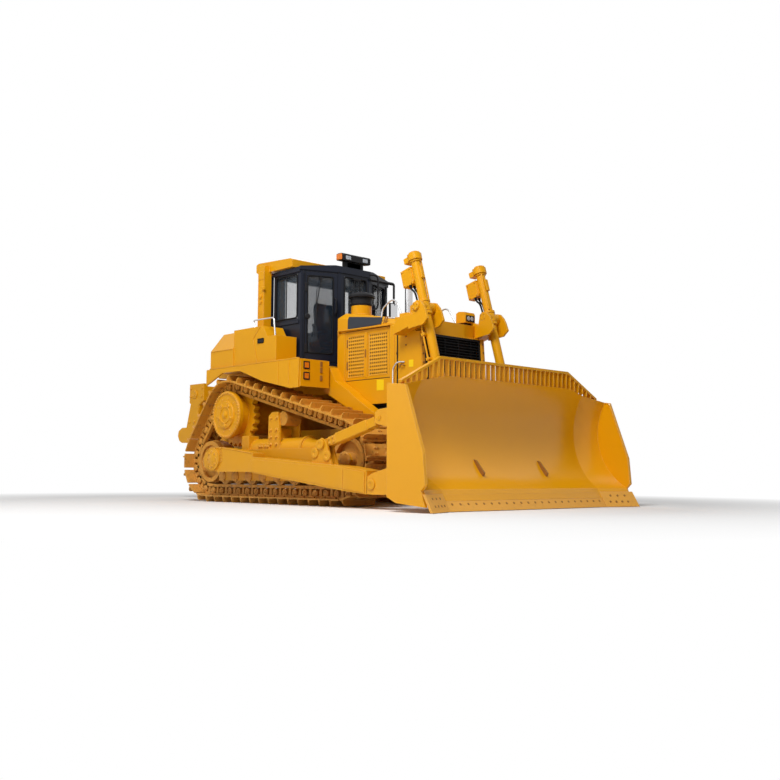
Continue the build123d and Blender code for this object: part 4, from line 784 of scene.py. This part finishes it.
flange = [prism([(0.771, 2.620), (0.771, 2.636), (1.900, 2.618), (1.900, 2.602)], -0.668, -0.618),
          prism([(0.771, 2.560), (0.771, 2.624), (0.783, 2.624), (0.783, 2.560)], -0.664, -0.618),
          block((1.905, -0.632, 1.620), (1.990, -0.618, 2.600), 0.004),
          block((0.735, -0.632, 1.620), (0.900, -0.618, 2.590), 0.004)]
add_pair("hood_flange_{}", flange, yellow_paint)
# Black strips along the top and bottom edges of the doors: painted shadow lines, the top one under the drip
# flange.
shadow_lines = [block((0.925, SKIN - 0.003, low), (1.885, SKIN, high), 0.001)
        for low, high in ((2.597, 2.604), (1.846, 1.854))]
add_pair("hood_door_seams_{}", shadow_lines, black_rubber)
panel = [(0.960, 2.800), (0.990, 2.832), (1.730, 2.742), (1.700, 2.645), (1.384, 2.640), (0.955, 2.640)]
add_pair("hood_slate_panel_{}", [prism(panel, SKIN - 0.006, SKIN)], slate_paint)
stripes = [prism([(x, 2.655), (x + 0.022, 2.655), (x + 0.062, 2.742), (x + 0.040, 2.745)],
                 SKIN - 0.007, SKIN) for x in (1.745, 1.790)]
add_pair("hood_stripes_{}", stripes, bolt_paint)
add_pair("plain_tags_{}", [block((1.610, SKIN - 0.004, 1.672), (1.760, SKIN, 1.830), 0.001)], plain_yellow)
rail = [(1.640, RAIL_Y, 2.760), (1.665, RAIL_Y, 2.890), (1.860, RAIL_Y, 3.000), (1.955, RAIL_Y, 2.960),
        (2.110, -0.580, 2.690)]
foot_bar = at_side(-0.545, [(1.700, 2.745), (1.985, 2.705)])
add_pair("hood_rails_{}", [pipe(rail, 0.013, 0.06), pipe(foot_bar, 0.011)], bright_steel)

# ---------------------------------------------------------------- exhaust and air intake
# A bright steel stack with a flared black collar on the hood and a band near its end, and a
# pre-cleaner bowl of black plastic, banded, on a flanged yellow neck.
STACK, INTAKE = (1.340, 0.300), (0.945, -0.335)       # (x, y) of their middles

stack_collar = lathe([(0.060, 0), (0.110, 0), (0.110, 0.030), (0.075, 0.042), (0.063, 0.060),
                      (0.0625, 0.120), (0.060, 0.120)], 32)
stack_band = lathe([(0.0625, 0), (0.067, 0.004), (0.067, 0.026), (0.0625, 0.030)], 32)
add_piece("exhaust_rings", [placed(stack_collar, [(*STACK, 2.805)]), placed(stack_band, [(*STACK, 3.440)])],
          black_steel)
neck = lathe([(0.150, 0), (0.1585, 0.002), (0.1585, 0.236), (0.150, 0.240)], 48)
neck_flange = lathe([(0.158, 0), (0.190, 0), (0.190, 0.020), (0.158, 0.026)], 48)
add_piece("pre_cleaner_neck", [placed(neck, [(*INTAKE, 2.790)]), placed(neck_flange, [(*INTAKE, 2.868)])],
          yellow_paint)
bowl_band = lathe([(0.164, 0), (0.172, 0.004), (0.172, 0.022), (0.164, 0.026)], 48)
add_piece("pre_cleaner_bands", [placed(bowl_band, [(*INTAKE, z) for z in (3.040, 3.120)]),
                                block((0.770, -0.360, 3.050), (0.790, -0.310, 3.130))],
          black_steel)

# ---------------------------------------------------------------- cab doors
# Formed dark doors, turned to the cab's slanted front corners.  Each has a rubber round its
# pane, a round lock and a grab handle, two hinge leaves and a wiper.
DOOR_FOOT, DOOR_TURN = (0.180, -0.930, 0.0), np.arctan2(0.630, 0.240)
door_axes = np.array(((np.cos(DOOR_TURN), np.sin(DOOR_TURN), 0),
                      (-np.sin(DOOR_TURN), np.cos(DOOR_TURN), 0), (0, 0, 1)))     # x along the door
LOCK_PLACE, WIPER_TOP = (0.116, -0.004, 2.905), (0.330, -0.020, 3.520)


def gasket(low, high, y):
    """Rubber round a pane in the plane of y: a bar along a rounded rectangle of (x, z) corners."""
    (x0, z0), (x1, z1) = low, high
    foot = ((x0 + x1) / 2, z0)
    line = [foot, (x0, z0), (x0, z1), (x1, z1), (x1, z0), foot]
    return pipe(at_side(y, line), 0.012, 0.05, 8)


def add_to_doors(name, shapes, material):
    """Carries shapes drawn in the door's own axes to both doors."""
    add_pair(name, all_placed(shapes, DOOR_FOOT, door_axes), material, "cab_door_{}")


add_to_doors("door_gasket_{}", [gasket((0.116, 2.336), (0.540, 3.554), -0.002),
                                pipe([(0.070, -0.006, 2.215), (0.070, -0.006, 3.600)], 0.008, 0.02, 6)],
             black_rubber)
lock = lathe([(0, 0), (0.045, 0), (0.045, 0.018), (0.034, 0.026), (0, 0.026)], 24)
handle = [(0.560, -0.030, 3.215), (0.572, -0.052, 3.190), (0.572, -0.052, 2.990), (0.560, -0.030, 2.965)]
leaves = [block((0.070, -0.018, z), (0.116, 0.000, z + 0.140)) for z in (2.330, 3.300)]
add_to_doors("door_lock_{}", [placed(lock, [LOCK_PLACE], OUTWARD), pipe(handle, 0.012, 0.03), *leaves],
             black_plastic)
wiper = [pipe([WIPER_TOP, (0.240, -0.020, 2.960)], 0.008),
         pipe([(0.262, -0.024, 3.350), (0.222, -0.024, 2.600)], 0.006),
         placed(disc(0.024, 0.022, 12), [(WIPER_TOP[0], -0.002, WIPER_TOP[2])], OUTWARD)]
add_to_doors("door_wiper_{}", wiper, black_plastic)

# ---------------------------------------------------------------- cab
# Rubber round the side windows and the windscreen, two wipers, dark trim under the roof's edge,
# a bent grab rail, a mirror on a square arm, and a bar of work lamps with an amber end.
PANE_Y, TRIM_Y = -0.932, -0.930
SCREEN_X, SCREEN_LOW, SCREEN_HIGH, SCREEN_SIDE = 0.422, 2.566, 3.584, 0.234
LENS_LOW, LENS_HIGH = 3.868, 3.930

side_window = [gasket((-0.444, 2.886), (0.104, 3.574), PANE_Y),
               pipe([(-0.170, -0.934, 2.886), (-0.170, -0.934, 3.574)], 0.009, 0.02, 6)]
add_pair("side_window_rubber_{}", side_window, black_rubber)
screen_line = [(SCREEN_X, y, z) for y, z in ((0, SCREEN_LOW), (-SCREEN_SIDE, SCREEN_LOW),
                                             (-SCREEN_SIDE, SCREEN_HIGH), (SCREEN_SIDE, SCREEN_HIGH),
                                             (SCREEN_SIDE, SCREEN_LOW), (0, SCREEN_LOW))]
add_piece("windscreen_rubber", [pipe(screen_line, 0.012, 0.05, 8)], black_rubber)
wipers = [pipe([(0.436, top, 3.560), (0.444, foot, 3.130)], 0.008)
          for top, foot in ((-0.020, -0.150), (0.060, 0.110))]
wipers += [pipe([(0.440, top, 3.440), (0.440, foot, 2.700)], 0.007)
           for top, foot in ((-0.105, -0.180), (0.090, 0.130))]
wipers.append(block((0.420, -0.060, 3.545), (0.450, 0.100, 3.585)))
add_piece("windscreen_wipers", wipers, black_plastic)

grab_rail = [(0.424, 0.270, 3.690), (0.480, 0.400, 3.690), (0.480, 0.440, 3.640), (0.480, 0.440, 3.180),
             (0.470, 0.400, 3.130), (0.424, 0.330, 3.120)]
mirror_arm = [(0.440, 0.300, 3.610), (0.430, 0.845, 3.610), (0.430, 0.845, 3.250)]
mirror_stay = [(0.424, 0.340, 3.060), (0.440, 0.600, 2.960), (0.440, 0.830, 2.900)]
mirror = block((0.400, 0.745, 3.030), (0.446, 0.925, 3.290), 0.014)
add_piece("mirror_and_grab_rail", [pipe(grab_rail, 0.014, 0.05), pipe(mirror_arm, 0.026, 0.03, 4),
                                   pipe(mirror_stay, 0.009, 0.1), mirror], black_plastic)
add_piece("mirror_glass", [block((0.446, 0.762, 3.046), (0.449, 0.908, 3.274), 0.001)], bright_steel)

bar = [(0.300, 3.856), (0.300, 3.950), (0.340, 3.969), (0.430, 3.962), (0.452, 3.940), (0.448, 3.850),
       (0.400, 3.846)]
bar_foot = block((0.300, -0.150, 3.700), (0.380, 0.150, 3.850), 0.012)
add_piece("roof_lamp_bar", [prism(bar, -0.296, 0.296), bar_foot], black_plastic)
lenses = [block((0.448, y - 0.052, LENS_LOW), (0.4535, y + 0.052, LENS_HIGH), 0.004)
          for y in (-0.180, 0.180)]
add_piece("roof_lamp_lenses", lenses, lamp_glass)
add_piece("roof_lamp_amber", [block((0.310, -0.325, 3.850), (0.440, -0.294, 3.958), 0.012)], amber_glass)
trim = [block((-0.560, -0.958, 3.600), (0.180, TRIM_Y, 3.640)),
        block((-0.575, -0.960, 2.760), (-0.545, -0.900, 3.640)),
        block((-0.540, -0.945, 2.790), (0.150, TRIM_Y, 2.850))]
add_pair("cab_trim_{}", trim, dark_paint)

# ---------------------------------------------------------------- rollover frame
# Boxed posts bolted through pads on the fenders carry the canopy.  Beads of weld run down each
# post, and two plugs close the holes where it was filled.
POST_Y = -1.104

post_bolts = [(x, y, 2.780) for x in (-0.735, -0.505) for y in (-1.110, -0.985)]
posts = [placed(bolt(0.020, 0.022), post_bolts),
         block((-0.705, -1.106, 3.560), (-0.535, -1.096, 3.700)),
         block((-0.560, -1.135, 3.380), (-0.500, -1.100, 3.440)),
         *(pipe([(x, POST_Y, 3.700), (x, POST_Y, 2.800)], 0.006, 0.02, 6) for x in (-0.690, -0.550)),
         placed(disc(0.030, 0.020, 14), [(-0.620, -1.100, z) for z in (3.200, 3.290)], OUTWARD)]
add_pair("rollover_fittings_{}", posts, yellow_paint)

# ---------------------------------------------------------------- tanks, fenders and steps
# Welded plate with its beads showing, a bent rail and a lamp on each tank, two amber lamps and
# three hinges on the front of each fender's box, and a screwed cap on the fuel tank.
TANK_RAIL_Y, SEAM_Y, FENDER_EDGE, BOX_FRONT = -1.330, -1.384, -1.436, 0.798
STEP_LAMPS = (1.840, 2.000)              # their lower edges

rail = at_side(TANK_RAIL_Y, [(-0.450, 2.735), (-0.500, 2.860), (0.040, 2.850), (0.080, 2.560)])
add_pair("tank_rails_{}", [pipe(rail, 0.012, 0.05)], bright_steel)
weld = at_side(SEAM_Y, [(-0.300, 2.160), (-0.420, 2.560), (-0.240, 2.730)])
seams = [block((-0.940, -1.386, 2.170), (-0.928, -1.378, 2.730), 0.002),
         pipe([(-1.560, -1.404, 2.445), (-0.960, -1.404, 2.445)], 0.006, 0.02, 6),
         pipe(weld, 0.005, 0.02, 6),
         block((-1.560, FENDER_EDGE, 2.150), (0.780, -1.400, 2.166), 0.004),
         block((0.300, FENDER_EDGE, 1.800), (0.306, -1.428, 2.140), 0.001),
         block((0.560, -1.438, 1.790), (0.566, -1.428, 2.140), 0.001)]
add_pair("tank_seams_{}", seams, yellow_paint)
add_pair("tank_lamp_{}", [block((-0.300, -1.386, 2.470), (-0.140, -1.376, 2.545), 0.014)], black_plastic)
add_pair("step_lamp_{}", [block((BOX_FRONT, -1.345, z), (0.808, -1.230, z + 0.115), 0.010)
                          for z in STEP_LAMPS], black_plastic)
add_pair("step_lamp_lens_{}", [block((0.808, -1.328, z + 0.018), (0.810, -1.247, z + 0.097), 0.001)
                               for z in STEP_LAMPS], amber_glass)
add_pair("step_box_hinges_{}", [block((BOX_FRONT, -1.030, z), (0.812, -0.985, z + 0.080), 0.004)
                                for z in (1.840, 1.960, 2.050)], bolt_paint)
filler = lathe([(0, 0), (0.078, 0), (0.082, 0.010), (0.082, 0.040), (0.074, 0.050), (0.030, 0.056),
                (0.030, 0.075), (0, 0.075)], 28)
add_piece("fuel_filler", [placed(filler, [(-1.500, -0.500, 2.790)])], black_plastic)
roller_guard = [(-1.640, 0.284), (-1.440, 0.560), (1.440, 0.560), (1.640, 0.284)]
add_pair("roller_guard_inner_{}", [prism(roller_guard, -0.963, -0.953)], track_paint)

# ---------------------------------------------------------------- operator's seat and levers
# A suspension seat: a ribbed rubber boot on the floor, two foam pads and two arm pads in dark
# woven cloth with sewn channels and a corded edge, and a lever with a knob on each console.
SQUARE, CROWN, EDGE_CURVE = 0.35, 0.8, 0.45           # powers that shape a pad
PULL, DIP, CHANNEL = 0.04, 0.25, 0.05    # its sides' hollow, and a sewn channel's depth and half width
CUSHION, CUSHION_PLACE = (0.235, 0.252, 0.072), (-0.090, 0, 2.548)
BACK, BACK_PLACE, BACK_LEAN = (0.345, 0.245, 0.052), (-0.318, 0, 2.930), np.radians(6.338)
ARM, ARM_X, ARM_Y, ARM_Z = (0.205, 0.038, 0.028), -0.120, 0.320, 2.730
BOOT_HALF, BOOT_X, BOOT_LOW, BOOT_HIGH = (0.150, 0.170), -0.150, 2.166, 2.430
LEVER_Y = 0.510
seat_cloth = finish("seat_cloth", (0.030, 0.031, 0.036), 0.88, cloudy=0.3, gloss=0.05,
                    grain=(420.0, 1.0, 0.5))


def signed(value, power):
    """The value's size raised to a power, its sign kept."""
    return np.sign(value) * np.abs(value) ** power


def plan(turn, reach=1.0):
    """A pad's rounded square at angles: x, y = reach·c^SQUARE, drawn in midway between its corners."""
    x, y = reach * signed(np.cos(turn), SQUARE), reach * signed(np.sin(turn), SQUARE)
    return x * (1 - PULL * (1 - y ** 2)), y * (1 - PULL * (1 - x ** 2))


def pad(half, channels=(), rows=22, columns=48):
    """A stuffed pad: its plan shrinks to each pole by cos^EDGE_CURVE, and z = sin^CROWN of the lift.

    It dips by a bell curve along each sewn channel.
    """
    lift = np.linspace(-np.pi / 2, np.pi / 2, rows)[:, None]
    x, y = plan((np.arange(columns) * 2 * np.pi / columns)[None, :], np.abs(np.cos(lift)) ** EDGE_CURVE)
    z = signed(np.sin(lift), CROWN) * np.ones_like(x)
    for channel in channels:
        z = z * (1 - DIP * np.exp(-((x - channel) / CHANNEL) ** 2))
    return np.stack((x, y, z), -1).reshape(-1, 3) * half, [quads(rows, columns, around=True)]


def cord_round(half):
    """The corded edge of a pad: a thin bar round its widest line."""
    x, y = plan(np.linspace(0, 2 * np.pi, 49))
    return pipe(np.stack((x * half[0], y * half[1], 0 * x), -1), 0.005, 0.001, 6)


back_up, back_out = (-np.sin(BACK_LEAN), 0, np.cos(BACK_LEAN)), (-np.cos(BACK_LEAN), 0, -np.sin(BACK_LEAN))
back_lay = np.array((back_up, (0, 1, 0), back_out))   # the pad's length goes up the back
arms = [(ARM_X, side * ARM_Y, ARM_Z) for side in (-1, 1)]
pads = [("seat_cushion", all_placed((pad(CUSHION, (-0.35, 0.30)), cord_round(CUSHION)), CUSHION_PLACE)),
        ("seat_back", all_placed((pad(BACK, (-0.45, 0.05, 0.52)), cord_round(BACK)), BACK_PLACE, back_lay)),
        ("seat_arm_pads", [placed(pad(ARM, (), 14, 32), arms)])]
for name, shapes in pads:
    add_piece(name, shapes, seat_cloth)

ribs = zip(np.linspace(BOOT_LOW, BOOT_HIGH, 9), (1, 0.94, 1, 0.94, 1, 0.94, 1, 0.94, 1))
boot_corners = np.array(((-1, -1), (1, -1), (1, 1), (-1, 1))) * BOOT_HALF
boot = [loft([[(x * width + BOOT_X, y * width, z) for x, y in boot_corners] for z, width in ribs]),
        block((-0.320, -0.200, BOOT_HIGH), (0.060, 0.200, 2.478), 0.010),
        block((-0.390, -0.190, 2.560), (-0.372, 0.190, 3.200), 0.006)]
boot += [pipe([(-0.300, side * ARM_Y, 2.700), (-0.300, side * ARM_Y, 2.560), (-0.300, side * 0.180, 2.500)],
              0.016) for side in (-1, 1)]
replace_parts(add_piece("seat_boot_and_frame", boot, black_plastic), "seat")

knob = lathe([(0, -0.03), (0.020, -0.024), (0.030, 0), (0.024, 0.030), (0, 0.040)], 20)
gaiter = lathe([(0.018, 0), (0.046, 0), (0.042, 0.030), (0.026, 0.052), (0.018, 0.056)], 20)
levers = [placed(shape, [(0, side * LEVER_Y, z) for side in (-1, 1)])
          for shape, z in ((knob, 2.812), (gaiter, 2.620))]
dial_panel = block((0.296, -0.110, 2.700), (0.299, 0.110, 2.870), 0.001)
add_piece("console_levers", [*levers, dial_panel], black_rubber)

# ---------------------------------------------------------------- ripper
# Forged pins kept in by bolted end plates, bolted glands on the tilt cylinders, oil lines along
# them, pin holes up the shank, and a cast tooth held by a driven pin.
LOW, LOW_REAR, TOP = (np.array(joint_at[name])
                      for name in ("ripper_lift", "ripper_carriage_level", "ripper_link_swing"))
TOP_REAR = TOP + LOW_REAR - LOW          # the fourth pin of the parallelogram
TILT_Y, SHANK_X, SHANK_SIDE, TOOTH_PIN = -0.385, -3.955, -0.042, (-3.665, -0.062, 0.595)
CARRIAGE_SIDE, CARRIAGE_LINE_Y = -0.520, -0.524


def add_both(name, shapes, material, body):
    """One piece that holds the shapes on the right and their twins on the left."""
    add_piece(name, shapes + to_left(shapes), material, body)


end_plate = [lathe([(0, 0), (0.078, 0), (0.078, 0.012), (0.070, 0.018), (0, 0.018)], 24),
             placed(bolt(0.012, 0.012), ring_of(3, 0.048, 0.018, 0.5))]
for name, body, spots in (("ripper_arm_pin_plates", "ripper_arm", ((LOW, 0.500), (LOW_REAR, 0.520))),
                          ("ripper_link_pin_plates", "ripper_link", ((TOP, 0.480), (TOP_REAR, 0.520)))):
    places = [pin - (0, out, 0) for pin, out in spots]
    add_both(name, all_placed(end_plate, places, OUTWARD), yellow_paint, body)
gland = [lathe([(0.070, 0.120), (0.080, 0.126), (0.080, 0.160), (0.072, 0.166)], 28),
         lathe([(0.040, 0.640), (0.084, 0.640), (0.084, 0.704), (0.076, 0.712), (0.040, 0.712)], 28),
         placed(bolt(0.010, 0.012), ring_of(8, 0.062, 0.711)),
         pipe([(0.070, 0, 0.160), (0.100, 0, 0.190), (0.100, 0, 0.620), (0.078, 0, 0.660)], 0.011, 0.03)]
add_both("ripper_tilt_glands", all_placed(gland, TOP + (0, TILT_Y, 0), axes(TOP_REAR - TOP)), yellow_paint,
         "ripper_link")
hole = lathe([(0, 0.0005), (0.036, 0.0005), (0.040, 0.003), (0.048, 0.003), (0.052, 0), (0, 0)], 20)
holes = at_side(SHANK_SIDE, [(SHANK_X, z) for z in (1.000, 1.420, 1.860)])
add_both("ripper_shank_holes", [placed(hole, holes, OUTWARD),
                                placed(bolt(0.016, 0.010, 12), [TOOTH_PIN], OUTWARD)],
         bolt_paint, "ripper_carriage")
plate_bolts = at_side(CARRIAGE_SIDE, [(-3.180, 1.860), (-3.180, 2.010), (-3.560, 1.860), (-3.560, 2.010),
                                      (-3.420, 1.400), (-3.600, 1.400)])
carriage_line = at_side(CARRIAGE_LINE_Y, [(-3.300, 1.260), (-3.300, 1.690), (-3.160, 1.780)])
add_both("ripper_carriage_bolts", [placed(bolt(0.020, 0.020), plate_bolts, OUTWARD),
                                   pipe(carriage_line, 0.007, 0.03, 6)], yellow_paint, "ripper_carriage")
